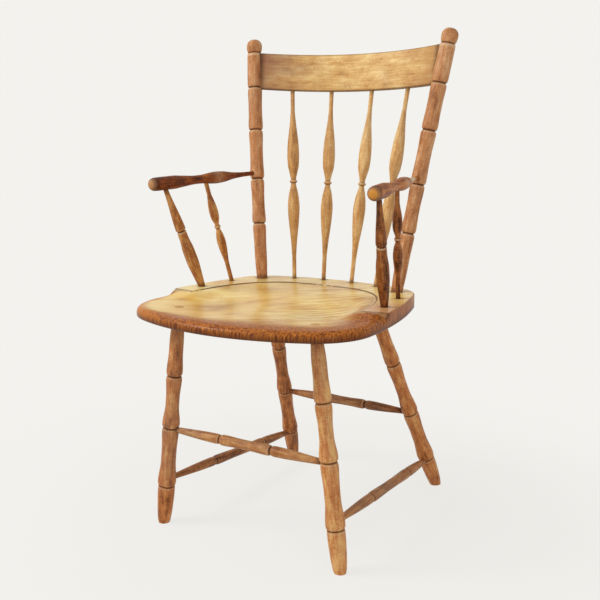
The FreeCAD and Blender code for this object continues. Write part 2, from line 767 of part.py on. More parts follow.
def wedge(axis):
    """The thin wedge that spreads a front leg's tenon, before it is trimmed to the saddle."""
    foot, top = axis
    way = unit(top - foot)
    side = unit(vec(1, 0, 0) - way * way.x)
    at_seat = at_height(foot, top, SEAT_HEIGHT)
    head = at_height(foot, top, saddle_height(at_seat.x, at_seat.y) + WEDGE_PROUD)
    edge = head - way * WEDGE_DEPTH
    across = way.cross(side) * (LEG_TENON_RADIUS * 0.94)
    half = side * (WEDGE_THICKNESS / 2)
    return flat([corner - across for corner in (edge, head + half, head - half)]).extrude(across * 2)


# Assembly: each function makes the pieces of one group and returns them with their sockets


def base():
    """Legs, their wedges and the box of stretchers, with the legs' sockets in the seat."""
    front_axis, rear_axis = front_leg_axis(), rear_leg_axis()
    front_way, rear_way = front_axis[1] - front_axis[0], rear_axis[1] - rear_axis[0]
    front = leg(front_axis, FRONT_RING_PLACES, SEAT_HEIGHT + LEG_TENON_RADIUS)
    rear = leg(rear_axis, REAR_RING_PLACES, SEAT_BOTTOM + REAR_TENON_DEPTH)

    def cross(axis, way, height):
        right = at_height(*axis, height)
        left = vec(-right.x, right.y, right.z)
        left_way = vec(-way.x, way.y, way.z)
        return stretcher(left, right, left_way, way, CROSS_RING_PLACES)

    front_stretcher = cross(front_axis, front_way, FRONT_STRETCHER_HEIGHT)
    rear_stretcher = cross(rear_axis, rear_way, REAR_STRETCHER_HEIGHT)
    side_stretcher = stretcher(
        at_height(*front_axis, SIDE_STRETCHER_FRONT_HEIGHT),
        at_height(*rear_axis, SIDE_STRETCHER_REAR_HEIGHT),
        front_way, rear_way, SIDE_RING_PLACES,
    )
    cutter = saddle_cutter()
    floor = Part.makeBox(REACH, REACH, REACH, vec(-REACH / 2, -REACH / 2, -REACH))
    key = wedge(front_axis).cut(cutter)
    front_holes = [floor, cutter, key, front_stretcher.high_socket(), side_stretcher.low_socket()]
    rear_holes = [floor, rear_stretcher.high_socket(), side_stretcher.high_socket()]
    paired = {
        "leg_front": front.solid().cut(front_holes),
        "leg_rear": rear.solid().cut(rear_holes),
        "leg_wedge": key,
        "stretcher": side_stretcher.solid(),
    }
    single = {"stretcher_front": front_stretcher.solid(), "stretcher_rear": rear_stretcher.solid()}
    return single, paired, [front.high_socket(), rear.high_socket()]


def back():
    """Posts, spindles, crest rail and its pins, with their sockets in the seat."""
    post = back_post()
    sockets = [post.low_socket()]
    pin_hole = crest_pin(CREST_PIN_RADIUS + FIT)
    rail_holes = [pin_hole]
    paired = {"crest_pin": crest_pin(CREST_PIN_RADIUS)}
    for label, *places in zip(("inner", "outer"), SPINDLE_FOOT_PLACES, SPINDLE_TOP_PLACES):
        spindle = back_spindle(*places)
        sockets.append(spindle.low_socket())
        rail_holes.append(spindle.high_socket())
        paired["back_spindle_" + label] = spindle.solid()
    rail_holes += [mirrored(hole) for hole in rail_holes]
    paired["back_post"] = bored(post.solid(), [crest_mortises(), arm().high_socket(), pin_hole])
    return {"crest_rail": bored(crest_rail(), rail_holes)}, paired, sockets


def arms():
    """Arms with the stick at their front and the short spindle, and the sockets in the seat."""
    front = arm_stick(ARM_POST_FOOT, ARM_POST_BEHIND_KNOB, ARM_POST_FOOT_RADIUS,
                      ARM_POST_TOP_RADIUS, ARM_KNOB_RADIUS, arm_post_turning)
    short = arm_stick(ARM_SPINDLE_FOOT, ARM_SPINDLE_BEHIND_KNOB, ARM_SPINDLE_FOOT_RADIUS,
                      ARM_SPINDLE_TOP_RADIUS, ARM_SWELL_RADIUS, arm_spindle_turning)
    handle = arm().solid().cut([front.high_socket(), short.high_socket()])
    paired = {"arm": handle, "arm_post": front.solid(), "arm_spindle": short.solid()}
    return {}, paired, [front.low_socket(), short.low_socket()]


def seat(sockets):
    """The plank: rolled at the front, full height at the deck, dished and bored."""
    plank = rolled_plank().fuse(deck_plank()).removeSplitter()
    holes = sockets + [mirrored(socket) for socket in sockets]
    return bored(plank.cut(saddle_cutter()), holes)


def build():
    """Every piece by name, in place."""
    pieces = {}
    sockets = []
    for single, paired, holes in (base(), back(), arms()):
        pieces.update(single)
        for name, shape in paired.items():
            pieces[name + "_right"] = shape
            pieces[name + "_left"] = mirrored(shape)
        sockets += holes
    pieces["seat"] = seat(sockets)
    return pieces


def main():
    os.makedirs("parts", exist_ok=True)
    pieces = build()
    box = Part.makeCompound(list(pieces.values())).optimalBoundingBox(False)
    middle = vec(box.Center.x, box.Center.y, 0)
    for name, shape in sorted(pieces.items()):
        shape.translate(middle * -1)
        shape.exportStep("parts/" + name + ".step")
        print(name, "solids", len(shape.Solids), "valid", shape.isValid(), "volume", round(shape.Volume))
    print("overall", [round(size, 1) for size in (box.XLength, box.YLength, box.ZLength)])
    print("moved along y by", round(-middle.y, 2))


main()
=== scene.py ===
# %% [markdown]
# # A Windsor armchair, dressed on its measured frame
#
# The CAD model gives every stick, the seat and the rail their true size and place. This
# script replaces each plain solid by a finer one that keeps the same axes and sizes, and
# gives it the look of old, varnished, hand-worn wood.
#
# We start by loading that frame.

import math

import bmesh
import bpy
import numpy as np
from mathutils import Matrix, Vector


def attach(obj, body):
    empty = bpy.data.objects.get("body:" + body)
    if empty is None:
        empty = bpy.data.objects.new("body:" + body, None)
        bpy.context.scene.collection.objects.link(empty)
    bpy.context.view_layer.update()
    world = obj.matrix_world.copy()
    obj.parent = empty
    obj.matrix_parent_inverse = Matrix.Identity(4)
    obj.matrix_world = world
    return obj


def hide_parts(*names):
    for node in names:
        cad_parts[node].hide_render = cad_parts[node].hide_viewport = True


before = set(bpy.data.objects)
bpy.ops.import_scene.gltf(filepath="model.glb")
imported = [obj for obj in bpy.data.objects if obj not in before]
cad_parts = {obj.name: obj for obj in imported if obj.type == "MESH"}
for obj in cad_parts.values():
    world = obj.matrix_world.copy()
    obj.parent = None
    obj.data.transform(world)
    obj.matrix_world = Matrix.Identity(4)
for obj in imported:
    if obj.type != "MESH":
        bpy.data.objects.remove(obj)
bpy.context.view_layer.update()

# %% [markdown]
# ## Sizes that the chair is laid out with
#
# All lengths are metres, +Z is up and the sitter looks along -Y. A real chair maker marks
# out only a few things: how high the seat is, where each hole is bored in it, and how far
# each stick leans. We do the same and work the rest out.

# %% Main sizes
SEAT_TOP = 0.435
SEAT_BOTTOM = 0.395
BACK_SHIFT = 0.04786

FRONT_LEG = (Vector((0.192, -0.222 + BACK_SHIFT, 0)), Vector((0.145, -0.222 + BACK_SHIFT, SEAT_BOTTOM)))
REAR_LEG = (Vector((0.177, 0.222 + BACK_SHIFT, 0)), Vector((0.1164, 0.0432 + BACK_SHIFT, SEAT_BOTTOM)))

POST_FOOT = Vector((0.1527, 0.0614 + BACK_SHIFT, SEAT_TOP))
POST_TOP = Vector((0.2169, 0.1350 + BACK_SHIFT, SEAT_TOP + 0.482))
POST_BEND = Vector((0, -0.0057, 0))


def on_post(height):
    """A point on the bent axis of a back post at a height above the seat."""
    share = height / (POST_TOP.z - POST_FOOT.z)
    return POST_FOOT.lerp(POST_TOP, share) + POST_BEND * (4 * share * (1 - share))


def on_leg(leg, height):
    foot, top = leg
    return foot.lerp(top, height / top.z)


CREST_AT = on_post(0.4185)
CREST_LEAN = (on_post(0.4195) - on_post(0.4175)).normalized()
ARM_KNOB = Vector((0.2256, -0.1818 + BACK_SHIFT, SEAT_TOP + 0.2015))
ARM_HOLD = on_post(0.2127)
ARM_WAY = (ARM_HOLD - ARM_KNOB).normalized()
print("arm length", round((ARM_HOLD - ARM_KNOB).length, 4), "crest at", [round(v, 4) for v in CREST_AT])

# %% [markdown]
# ## A curve through a few sizes
#
# A turner works from a few widths marked along the stick and lets the gouge flow between
# them. This helper does that: it draws a smooth curve through (place, radius) pairs and
# never swings past them, so a waist stays a waist.

# %% Smooth curve through key sizes


def flowing(keys, places):
    """Values at the places on a smooth curve through (place, value) keys, without overshoot."""
    x = np.array([key[0] for key in keys], float)
    y = np.array([key[1] for key in keys], float)
    step = np.diff(x)
    slope = np.diff(y) / step
    tangent = np.zeros(len(x))
    same_way = slope[:-1] * slope[1:] > 0
    mean = 2 * slope[:-1] * slope[1:] / np.where(same_way, slope[:-1] + slope[1:], 1)
    tangent[1:-1] = np.where(same_way, mean, 0)
    tangent[0], tangent[-1] = slope[0], slope[-1]
    places = np.clip(places, x[0], x[-1])
    i = np.clip(np.searchsorted(x, places) - 1, 0, len(step) - 1)
    t = (places - x[i]) / step[i]
    start = (1 + 2 * t) * (1 - t) ** 2 * y[i] + t * (1 - t) ** 2 * step[i] * tangent[i]
    return start + t * t * (3 - 2 * t) * y[i + 1] - t * t * (1 - t) * step[i] * tangent[i + 1]


def hump(x, centre, width):
    """A smooth bell: 1 at the centre, about 0.02 at two widths."""
    return np.exp(-((x - centre) / width) ** 2)


def eased(x, low, high):
    """0 below low, 1 above high, smooth between them."""
    t = np.clip((x - low) / (high - low), 0, 1)
    return t * t * (3 - 2 * t)


print("radius between 10 and 12 mm:", flowing([(0, 0.010), (1, 0.012), (2, 0.010)], np.array([0.5])))

# %% [markdown]
# ## The profile of a turned stick
#
# On this chair every leg, post and stretcher copies bamboo: long segments that swell
# towards each other and meet in a scribed ring. The ring is a thin V cut that holds dirt,
# and the lip beside it is painted pale, as rubbed wear with a painted highlight on it.
#
# A profile here is a set of arrays along the stick: place, radius, and three marks from 0
# to 1 that the finishes read later: groove (dirt), lip (rubbed wear and painted highlight)
# and joint (dirt and painted contact shade at a socket).

# %% Profiles
RING_DEPTH = 0.0023
RING_WIDTH = 0.0015
SHOULDER_DROP = 0.0011
SHOULDER_LENGTH = 0.0046
STATION_SPACING = 0.004
RING_REACH, RING_STATIONS = 0.009, 37


def places_along(start, end, rings):
    """Places to sample: even ones, and close ones round every ring and both ends."""
    places = list(np.linspace(start, end, int((end - start) / STATION_SPACING) + 2))
    for ring in rings:
        places += list(ring + np.linspace(-RING_REACH, RING_REACH, RING_STATIONS))
    places += [start + 0.0015, end - 0.0015]
    places = np.array(sorted(places))
    places = places[(places >= start) & (places <= end)]
    return places[np.concatenate([[True], np.diff(places) > 0.0002])]


def bamboo(start, end, rings, waists):
    """Profile of a bamboo turning. start and end are (place, radius), a ring is
    (place, radius below it, radius above it), and waists are the thin middles between them."""
    marks = [ring[0] for ring in rings]
    z = places_along(start[0], end[0], marks)
    bounds = [(start[0], None, start[1])] + list(rings) + [(end[0], end[1], None)]
    radius = np.zeros(len(z))
    for number, waist in enumerate(waists):
        low, high = bounds[number], bounds[number + 1]
        length = high[0] - low[0]
        keys = [(low[0], low[2])]
        if number > 0:
            keys.append((low[0] + min(0.007, length * 0.15), low[2]))
        if waist:
            keys += [(low[0] + length * share, waist) for share in (0.42, 0.60)]
        keys += [(high[0] - min(0.006, length * 0.12), high[1]), (high[0], high[1])]
        if number == len(waists) - 1:
            del keys[-2]
        inside = (z >= low[0]) & (z <= high[0])
        radius[inside] = flowing(keys, z[inside])
    groove, lip = np.zeros(len(z)), np.zeros(len(z))
    for place in marks:
        radius -= RING_DEPTH * hump(z, place, RING_WIDTH)
        radius -= SHOULDER_DROP * hump(z, place, SHOULDER_LENGTH)
        groove += hump(z, place, 0.0015)
        # The pale lip below each ring is rubbed wear and a painted highlight.
        lip += 0.45 * hump(z, place - 0.0032, 0.0015)
    return dict(z=z, radius=radius, groove=groove, lip=lip, joint=np.zeros(len(z)))


def mark_joints(profile, places, reach=0.006):
    """Darkens the stick where it enters another piece: dirt and painted contact shade."""
    for place in places:
        profile["joint"] += hump(profile["z"], place, reach)
    return profile


demo = bamboo((0, 0.011), (0.3, 0.012), [(0.1, 0.014, 0.015)], (None, 0.013))
print("places on a short stick:", len(demo["z"]), "thinnest", round(demo["radius"].min(), 4))

# %% [markdown]
# ## Geometry Nodes: one lathe for all the sticks
#
# A lathe turns a profile round an axis. The same can be done by Spin or by a bevelled
# curve, but a node tree is better here, because twenty-two sticks share it: each hands in
# its own line of profile points, and its inputs say where the stick stands, how it leans
# and how far it is bent.
#
# The tree also stores each point's place on the straight stick before it is leaned. The
# wood's grain follows that stored place, so it runs along the stick as it does in a blank
# that was split from the log. A faint unevenness is added, because these were turned by
# hand.

# %% The lathe tree


def new_node(tree, kind, settings=None, **inputs):
    """Adds a node, sets its properties, and sets or links inputs by their name."""
    made = tree.nodes.new(kind)
    for key, value in (settings or {}).items():
        setattr(made, key, value)
    for key, value in inputs.items():
        connect(tree, value, made.inputs[key.replace("_", " ")])
    return made


def connect(tree, value, socket):
    if isinstance(value, bpy.types.NodeSocket):
        tree.links.new(value, socket)
    else:
        socket.default_value = value


def add_socket(tree, name, kind, value=None, is_output=False):
    """Adds a named socket to a node group and gives an input its default."""
    side = "OUTPUT" if is_output else "INPUT"
    made = tree.interface.new_socket(name=name, in_out=side, socket_type="NodeSocket" + kind)
    if value is not None:
        made.default_value = value
    return made


def maths(tree, operation, *values):
    """A Math node, its inputs given in order as sockets or numbers."""
    made = tree.nodes.new("ShaderNodeMath")
    made.operation = operation
    for socket, value in zip(made.inputs, values):
        connect(tree, value, socket)
    return made.outputs[0]


def swung(tree, value, size):
    """A value from 0 to 1 as a swing to both sides of 0, size wide in all."""
    return maths(tree, "MULTIPLY", maths(tree, "SUBTRACT", value, 0.5), size)


def vector_maths(tree, operation, *values):
    made = tree.nodes.new("ShaderNodeVectorMath")
    made.operation = operation
    for socket, value in zip(made.inputs, values):
        connect(tree, value, socket)
    if operation == "SCALE":
        connect(tree, values[1], made.inputs["Scale"])
    return made.outputs[0]


def stored(tree, name, kind="FLOAT"):
    """Reads a named attribute inside a Geometry Nodes tree."""
    made = new_node(tree, "GeometryNodeInputNamedAttribute", {"data_type": kind}, Name=name)
    return made.outputs["Attribute"]


def build_lathe():
    tree = bpy.data.node_groups.new("stick_lathe", "GeometryNodeTree")
    add_socket(tree, "Profile", "Geometry")
    add_socket(tree, "Facets", "Int", 40)
    add_socket(tree, "Length", "Float", 0.4)
    add_socket(tree, "Foot", "Vector")
    add_socket(tree, "Lean", "Rotation")
    add_socket(tree, "Bend", "Vector")
    add_socket(tree, "Unevenness", "Float", 0.00025)
    add_socket(tree, "Seed", "Float", 0.0)
    add_socket(tree, "Finish", "Material")
    add_socket(tree, "Stick", "Geometry", is_output=True)
    given = tree.nodes.new("NodeGroupInput").outputs
    line = new_node(tree, "GeometryNodeMeshToCurve", Mesh=given["Profile"])
    circle = new_node(tree, "GeometryNodeCurvePrimitiveCircle", Resolution=given["Facets"], Radius=1.0)
    turned = new_node(
        tree, "GeometryNodeCurveToMesh", Curve=line.outputs[0], Profile_Curve=circle.outputs[0],
        Scale=stored(tree, "turn_radius"), Fill_Caps=True,
    )
    place = tree.nodes.new("GeometryNodeInputPosition").outputs[0]
    marked = new_node(
        tree, "GeometryNodeStoreNamedAttribute", {"data_type": "FLOAT_VECTOR", "domain": "POINT"},
        Geometry=turned.outputs[0], Name="blank_place", Value=place,
    )
    uneven = new_node(
        tree, "ShaderNodeTexNoise", {"noise_dimensions": "4D"},
        Vector=vector_maths(tree, "MULTIPLY", place, (60.0, 60.0, 22.0)), W=given["Seed"],
        Scale=1.0, Detail=2.0,
    )
    swing = swung(tree, uneven.outputs[0], given["Unevenness"])
    outward = tree.nodes.new("GeometryNodeInputNormal").outputs[0]
    worn = new_node(
        tree, "GeometryNodeSetPosition", Geometry=marked.outputs[0],
        Offset=vector_maths(tree, "SCALE", outward, swing),
    )
    height = new_node(tree, "ShaderNodeSeparateXYZ", Vector=stored(tree, "blank_place", "FLOAT_VECTOR"))
    share = maths(tree, "DIVIDE", height.outputs["Z"], given["Length"])
    bow = maths(tree, "MULTIPLY", maths(tree, "MULTIPLY", share, maths(tree, "SUBTRACT", 1.0, share)), 4.0)
    leaned = new_node(
        tree, "GeometryNodeTransform", Geometry=worn.outputs[0], Translation=given["Foot"],
        Rotation=given["Lean"],
    )
    bent = new_node(
        tree, "GeometryNodeSetPosition", Geometry=leaned.outputs[0],
        Offset=vector_maths(tree, "SCALE", given["Bend"], bow),
    )
    real = new_node(tree, "GeometryNodeRealizeInstances", Geometry=bent.outputs[0])
    done = new_node(tree, "GeometryNodeSetMaterial", Geometry=real.outputs[0], Material=given["Finish"])
    out = tree.nodes.new("NodeGroupOutput")
    tree.links.new(done.outputs[0], out.inputs["Stick"])
    return tree


LATHE = build_lathe()
print("lathe inputs:", [item.name for item in LATHE.interface.items_tree if item.in_out == "INPUT"])

# %% [markdown]
# ## From a modifier to a plain mesh
#
# The exported model keeps only real meshes, so each tree's result is turned into one and
# its modifier is taken off. Faces are made to point outwards, and edges sharper than 38
# degrees stay crisp while the rest is shaded smooth.

# %% Helpers for finished pieces
SHARP_ANGLE = math.radians(38)


def plain_object(name, points, edges=(), faces=(), marks=None):
    """An object at the origin whose points can carry named values."""
    mesh = bpy.data.meshes.new(name)
    mesh.from_pydata([tuple(point) for point in points], list(edges), list(faces))
    for key, values in (marks or {}).items():
        layer = mesh.attributes.new(key, "FLOAT", "POINT")
        layer.data.foreach_set("value", np.array(values, np.float32))
    made = bpy.data.objects.new(name, mesh)
    bpy.context.scene.collection.objects.link(made)
    return made


def run_tree(piece, tree, **inputs):
    """Runs a Geometry Nodes tree on the piece and keeps the result as its mesh."""
    modifier = piece.modifiers.new(tree.name, "NODES")
    modifier.node_group = tree
    for item in tree.interface.items_tree:
        if item.in_out == "INPUT" and item.name.replace(" ", "_") in inputs:
            modifier[item.identifier] = inputs[item.name.replace(" ", "_")]
    graph = bpy.context.evaluated_depsgraph_get()
    result = bpy.data.meshes.new_from_object(
        piece.evaluated_get(graph), preserve_all_data_layers=True, depsgraph=graph
    )
    piece.modifiers.clear()
    piece.data = result
    result.name = piece.name
    return piece


def tidy_faces(piece):
    """Closes doubled points, points the faces outwards and keeps only true edges sharp."""
    shape = bmesh.new()
    shape.from_mesh(piece.data)
    bmesh.ops.remove_doubles(shape, verts=shape.verts, dist=0.00002)
    bmesh.ops.recalc_face_normals(shape, faces=shape.faces)
    shape.to_mesh(piece.data)
    shape.free()
    piece.data.shade_smooth()
    piece.data.set_sharp_from_angle(angle=SHARP_ANGLE)
    return piece


def stands_for(piece, slot, *nodes):
    """The piece takes the place of CAD nodes and moves with the chair's one rigid body."""
    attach(piece, "root")
    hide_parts(*nodes)
    return piece


def lean_of(way):
    """Rotation that turns the +Z axis of a blank to a direction, without twist about it."""
    return Vector(way).to_track_quat("Z", "Y").to_euler()


print("sharp edges from", round(math.degrees(SHARP_ANGLE)), "degrees")

# %% [markdown]
# ## Finishes: what old varnished wood looks like
#
# Bare wood has long fibres. Varnish makes them deeper and warmer, dirt gathers in every
# groove, the joints are darkened with dirt and painted contact shade, and the proud edges
# are painted pale, as wear from hands and clothes with a painted highlight. None of these
# belongs to one piece only, so each is a shader node group that all the woods share, with
# its own values in each.
#
# Colours are written as they look on a screen and turned into the linear values that
# Blender computes with.

# %% Colour helper and the grain group


def paint(hex_code):
    """A screen colour such as "8f5a35" as linear red, green, blue and a full alpha."""
    parts = [int(hex_code[i:i + 2], 16) / 255 for i in (0, 2, 4)]
    return tuple([p / 12.92 if p <= 0.04045 else ((p + 0.055) / 1.055) ** 2.4 for p in parts] + [1.0])


def blend_colours(tree, share, first, second):
    """The first colour where the share is 0 and the second where it is 1."""
    made = new_node(tree, "ShaderNodeMix", {"data_type": "RGBA"})
    connect(tree, share, made.inputs["Factor"])
    for socket, value in zip([s for s in made.inputs if s.type == "RGBA"], (first, second)):
        connect(tree, value, socket)
    return [s for s in made.outputs if s.type == "RGBA"][0]


def spread(tree, value, low, high, to_low=0.0, to_high=1.0):
    """Maps a range of values smoothly to another, clamped."""
    made = new_node(tree, "ShaderNodeMapRange", {"interpolation_type": "SMOOTHSTEP"}, Value=value)
    for name, number in zip(("From Min", "From Max", "To Min", "To Max"), (low, high, to_low, to_high)):
        connect(tree, number, made.inputs[name])
    return made.outputs["Result"]


def band(tree, value, rise, fall):
    """1 between a rising and a falling slope, each given as (start, end), and 0 outside."""
    return maths(tree, "MULTIPLY", spread(tree, value, *rise), spread(tree, value, *fall, 1.0, 0.0))


def noise(tree, place, stretch, detail=3.0, roughness=0.55, distortion=0.0):
    """Noise whose size is given per metre along each axis of the place."""
    scaled = vector_maths(tree, "MULTIPLY", place, stretch)
    made = new_node(
        tree, "ShaderNodeTexNoise", None, Vector=scaled, Scale=1.0, Detail=detail,
        Roughness=roughness, Distortion=distortion,
    )
    return made.outputs[0]


def shader_group(name, inputs, outputs):
    """An empty shader node group with its sockets; returns the tree and its input node."""
    tree = bpy.data.node_groups.new(name, "ShaderNodeTree")
    for label, kind, value in inputs:
        add_socket(tree, label, kind, value)
    for label, kind in outputs:
        add_socket(tree, label, kind, is_output=True)
    return tree, tree.nodes.new("NodeGroupInput").outputs


def group_result(tree, **values):
    out = tree.nodes.new("NodeGroupOutput")
    for key, value in values.items():
        connect(tree, value, out.inputs[key.replace("_", " ")])


def build_grain():
    """Fibres that run along Z of the given place, between a deep, a body and a bright colour."""
    tree, given = shader_group(
        "long_grain",
        [
            ("Place", "Vector", None), ("Deep", "Color", None), ("Body", "Color", None),
            ("Bright", "Color", None), ("Tone", "Float", 0.5), ("Seed", "Float", 0.0),
        ],
        [("Color", "Color"), ("Fibre", "Float")],
    )
    offset = new_node(tree, "ShaderNodeCombineXYZ", None, X=given["Seed"], Y=given["Seed"], Z=given["Seed"])
    place = vector_maths(tree, "ADD", given["Place"], offset.outputs[0])
    fibre = noise(tree, place, (420.0, 420.0, 26.0), 4.0, 0.62)
    figure = noise(tree, place, (95.0, 95.0, 9.0), 3.0, 0.5, 0.6)
    strokes = noise(tree, place, (150.0, 150.0, 620.0), 2.0, 0.55)
    mottle = noise(tree, place, (70.0, 70.0, 34.0), 3.0, 0.6)
    mixed = maths(tree, "ADD", maths(tree, "MULTIPLY", fibre, 0.26), maths(tree, "MULTIPLY", figure, 0.25))
    mixed = maths(tree, "ADD", mixed, maths(tree, "MULTIPLY", strokes, 0.17))
    mixed = maths(tree, "ADD", mixed, maths(tree, "MULTIPLY", mottle, 0.32))
    shifted = maths(tree, "ADD", mixed, swung(tree, given["Tone"], 0.30))
    low = blend_colours(tree, spread(tree, shifted, 0.36, 0.50), given["Deep"], given["Body"])
    colour = blend_colours(tree, spread(tree, shifted, 0.48, 0.62), low, given["Bright"])
    group_result(tree, Color=colour, Fibre=fibre)
    return tree


GRAIN = build_grain()
print("grain group:", [item.name for item in GRAIN.interface.items_tree])

# %% [markdown]
# ## Age: dirt in the rings, dirt and painted shade at the joints, pale lips with a painted highlight, stains
#
# The dirt, the painted contact shade and the pale lips with their painted highlight follow
# the marks that the profiles stored on the mesh. Stains and faded patches have no rule, so a
# slow noise over the whole chair places them: because it reads Object coordinates, it runs
# on from one piece to the next.

# %% The age group


def build_age():
    tree, given = shader_group(
        "age_on_wood",
        [
            ("Color", "Color", None), ("Place", "Vector", None), ("Groove", "Float", 0.0),
            # The dark colour is for dirt and for painted shade, and the rubbed colour is for worn lips and
            # their painted highlight.
            ("Lip", "Float", 0.0), ("Joint", "Float", 0.0), ("Dirt", "Color", paint("35190d")),
            ("Rubbed", "Color", paint("d9b48a")), ("Faded", "Color", paint("8a7a6b")),
            ("Fading", "Float", 0.25),
        ],
        [("Color", "Color"), ("Roughness", "Float"), ("Height", "Float")],
    )
    patches = noise(tree, given["Place"], (9.0, 9.0, 6.0), 3.0)
    speckle = noise(tree, given["Place"], (160.0, 160.0, 120.0), 3.0, 0.6)
    faded = maths(tree, "MULTIPLY", spread(tree, patches, 0.46, 0.70), given["Fading"])
    colour = blend_colours(tree, faded, given["Color"], given["Faded"])
    uneven = spread(tree, speckle, 0.30, 0.62, 0.55, 1.0)
    # The lips are painted pale: rubbed wear and a painted highlight.
    colour = blend_colours(tree, maths(tree, "MULTIPLY", given["Lip"], uneven), colour, given["Rubbed"])
    # Grooves and joints are darkened: dirt in the grooves, dirt and painted contact shade at the joints; on
    # the seat the same inputs carry the scribed line's dirt and painted shadow and the painted shade round
    # the sockets.
    grime_and_shade = maths(tree, "MAXIMUM", given["Groove"], maths(tree, "MULTIPLY", given["Joint"], 0.75))
    colour = blend_colours(tree, maths(tree, "MULTIPLY", grime_and_shade, 0.85), colour, given["Dirt"])
    specks = maths(tree, "MULTIPLY", spread(tree, speckle, 0.62, 0.74), 0.35)
    colour = blend_colours(tree, specks, colour, given["Dirt"])
    rough = spread(tree, patches, 0.35, 0.65, 0.40, 0.54)
    rough = maths(tree, "ADD", rough, maths(tree, "MULTIPLY", grime_and_shade, 0.25))
    group_result(tree, Color=colour, Roughness=rough, Height=speckle)
    return tree


AGE = build_age()
print("age group:", [item.name for item in AGE.interface.items_tree])

# %% [markdown]
# ## The stick woods
#
# One function makes the wood of every turned stick, because they differ only in colour:
# pinkish posts, brown legs, tan spindles and dark red arms, which hands have darkened. The
# varnish is a thin clear coat over the wood. The tone of each stick comes from a value
# stored on its mesh, so that two legs can share a material and still differ.
#
# The arms have a finish of their own on top: the knob is rubbed to gold in front, a dark
# ring is left behind it, and the right arm is worn to the bare wood just before its tail.

# %% Stick woods
VARNISH_COAT, VARNISH_ROUGHNESS, VARNISH_SPECULAR = 0.06, 0.28, 0.14
RELIEF_DEPTH = 0.0006


def attribute(tree, name):
    return new_node(tree, "ShaderNodeAttribute", {"attribute_name": name})


def group_node(tree, group, **inputs):
    made = tree.nodes.new("ShaderNodeGroup")
    made.node_tree = group
    for key, value in inputs.items():
        connect(tree, value, made.inputs[key.replace("_", " ")])
    return made


def surface(tree, colour, roughness, height, bump=0.15):
    """The Principled shader of a varnished wood, with a fine relief."""
    relief = new_node(tree, "ShaderNodeBump", None, Height=height)
    relief.inputs["Strength"].default_value = bump
    relief.inputs["Distance"].default_value = RELIEF_DEPTH
    shader = tree.nodes["Principled BSDF"]
    connect(tree, colour, shader.inputs["Base Color"])
    connect(tree, roughness, shader.inputs["Roughness"])
    connect(tree, relief.outputs[0], shader.inputs["Normal"])
    shader.inputs["Coat Weight"].default_value = VARNISH_COAT
    shader.inputs["Coat Roughness"].default_value = VARNISH_ROUGHNESS
    shader.inputs["Specular IOR Level"].default_value = VARNISH_SPECULAR
    return shader


def empty_material(name):
    made = bpy.data.materials.new(name)
    made.use_nodes = True
    return made


def handled(tree, colour, own_place, tone):
    """An arm where hands have been: the knob's end is rubbed to gold, and one tail to bare wood."""
    axes = new_node(tree, "ShaderNodeSeparateXYZ", Vector=own_place).outputs
    worn_side = spread(tree, tone, 0.45, 0.55)
    ring = band(tree, axes["Z"], (-0.0095, -0.0065), (0.001, 0.005))
    gold = blend_colours(tree, worn_side, paint("b98554"), paint("d58f35"))
    colour = blend_colours(tree, spread(tree, axes["Z"], -0.0100, -0.0050, 0.9, 0.0), colour, gold)
    colour = blend_colours(tree, maths(tree, "MULTIPLY", ring, 0.55), colour, paint("451a08"))
    flecks = noise(tree, own_place, (60.0, 60.0, 22.0), 3.0, 0.6)
    frayed = maths(tree, "ADD", axes["Z"], swung(tree, flecks, 0.05))
    on_top = maths(tree, "MULTIPLY", worn_side, spread(tree, axes["Y"], -0.004, 0.003))
    patch = maths(tree, "MULTIPLY", band(tree, frayed, (0.176, 0.190), (0.222, 0.234)), on_top)
    return blend_colours(tree, maths(tree, "MULTIPLY", patch, 0.9), colour, paint("e2d2ae"))


def wood_relief(tree, grain, age):
    """The height that the fibres and the specks of age give a surface together."""
    fibres = maths(tree, "MULTIPLY", grain.outputs["Fibre"], 0.7)
    return maths(tree, "ADD", fibres, age.outputs["Height"])


# rubbed is the colour of the pale lips: rubbed wear with a painted highlight.
def stick_wood(name, deep, body, bright, fading=0.25, rubbed="d9b48a", finish=None):
    made = empty_material(name)
    tree = made.node_tree
    own_place = attribute(tree, "blank_place").outputs["Vector"]
    world_place = tree.nodes.new("ShaderNodeTexCoord").outputs["Object"]
    tone = attribute(tree, "tone").outputs["Fac"]
    grain = group_node(
        tree, GRAIN, Place=own_place, Deep=paint(deep), Body=paint(body), Bright=paint(bright),
        Tone=tone, Seed=maths(tree, "MULTIPLY", tone, 7.0),
    )
    colour = grain.outputs["Color"]
    if finish:
        colour = finish(tree, colour, own_place, tone)
    age = group_node(
        tree, AGE, Color=colour, Place=world_place,
        Groove=attribute(tree, "groove").outputs["Fac"], Lip=attribute(tree, "lip").outputs["Fac"],
        Joint=attribute(tree, "joint").outputs["Fac"], Fading=fading, Rubbed=paint(rubbed),
    )
    surface(tree, age.outputs["Color"], age.outputs["Roughness"], wood_relief(tree, grain, age))
    return made


WOODS = {
    "leg_wood": stick_wood("leg_wood", "7c4420", "c67c44", "e8b472"),
    "stretcher_wood": stick_wood("stretcher_wood", "6b3c1f", "ac6f40", "d29e64"),
    # The posts' pale lip colour is rubbed wear and a painted highlight.
    "post_wood": stick_wood("post_wood", "85502f", "bf8253", "dfb080", rubbed="e4c29a"),
    "spindle_wood": stick_wood("spindle_wood", "a87440", "d3a062", "efcb8e", 0.15),
    "arm_wood": stick_wood("arm_wood", "42190a", "8a4518", "c87c34", 0.06, finish=handled),
    "arm_stick_wood": stick_wood("arm_stick_wood", "48220e", "a0602f", "d39c5c", 0.12),
    "peg_wood": stick_wood("peg_wood", "a06a30", "cf9a50", "e8bf78", 0.1),
}
print("woods:", sorted(WOODS))

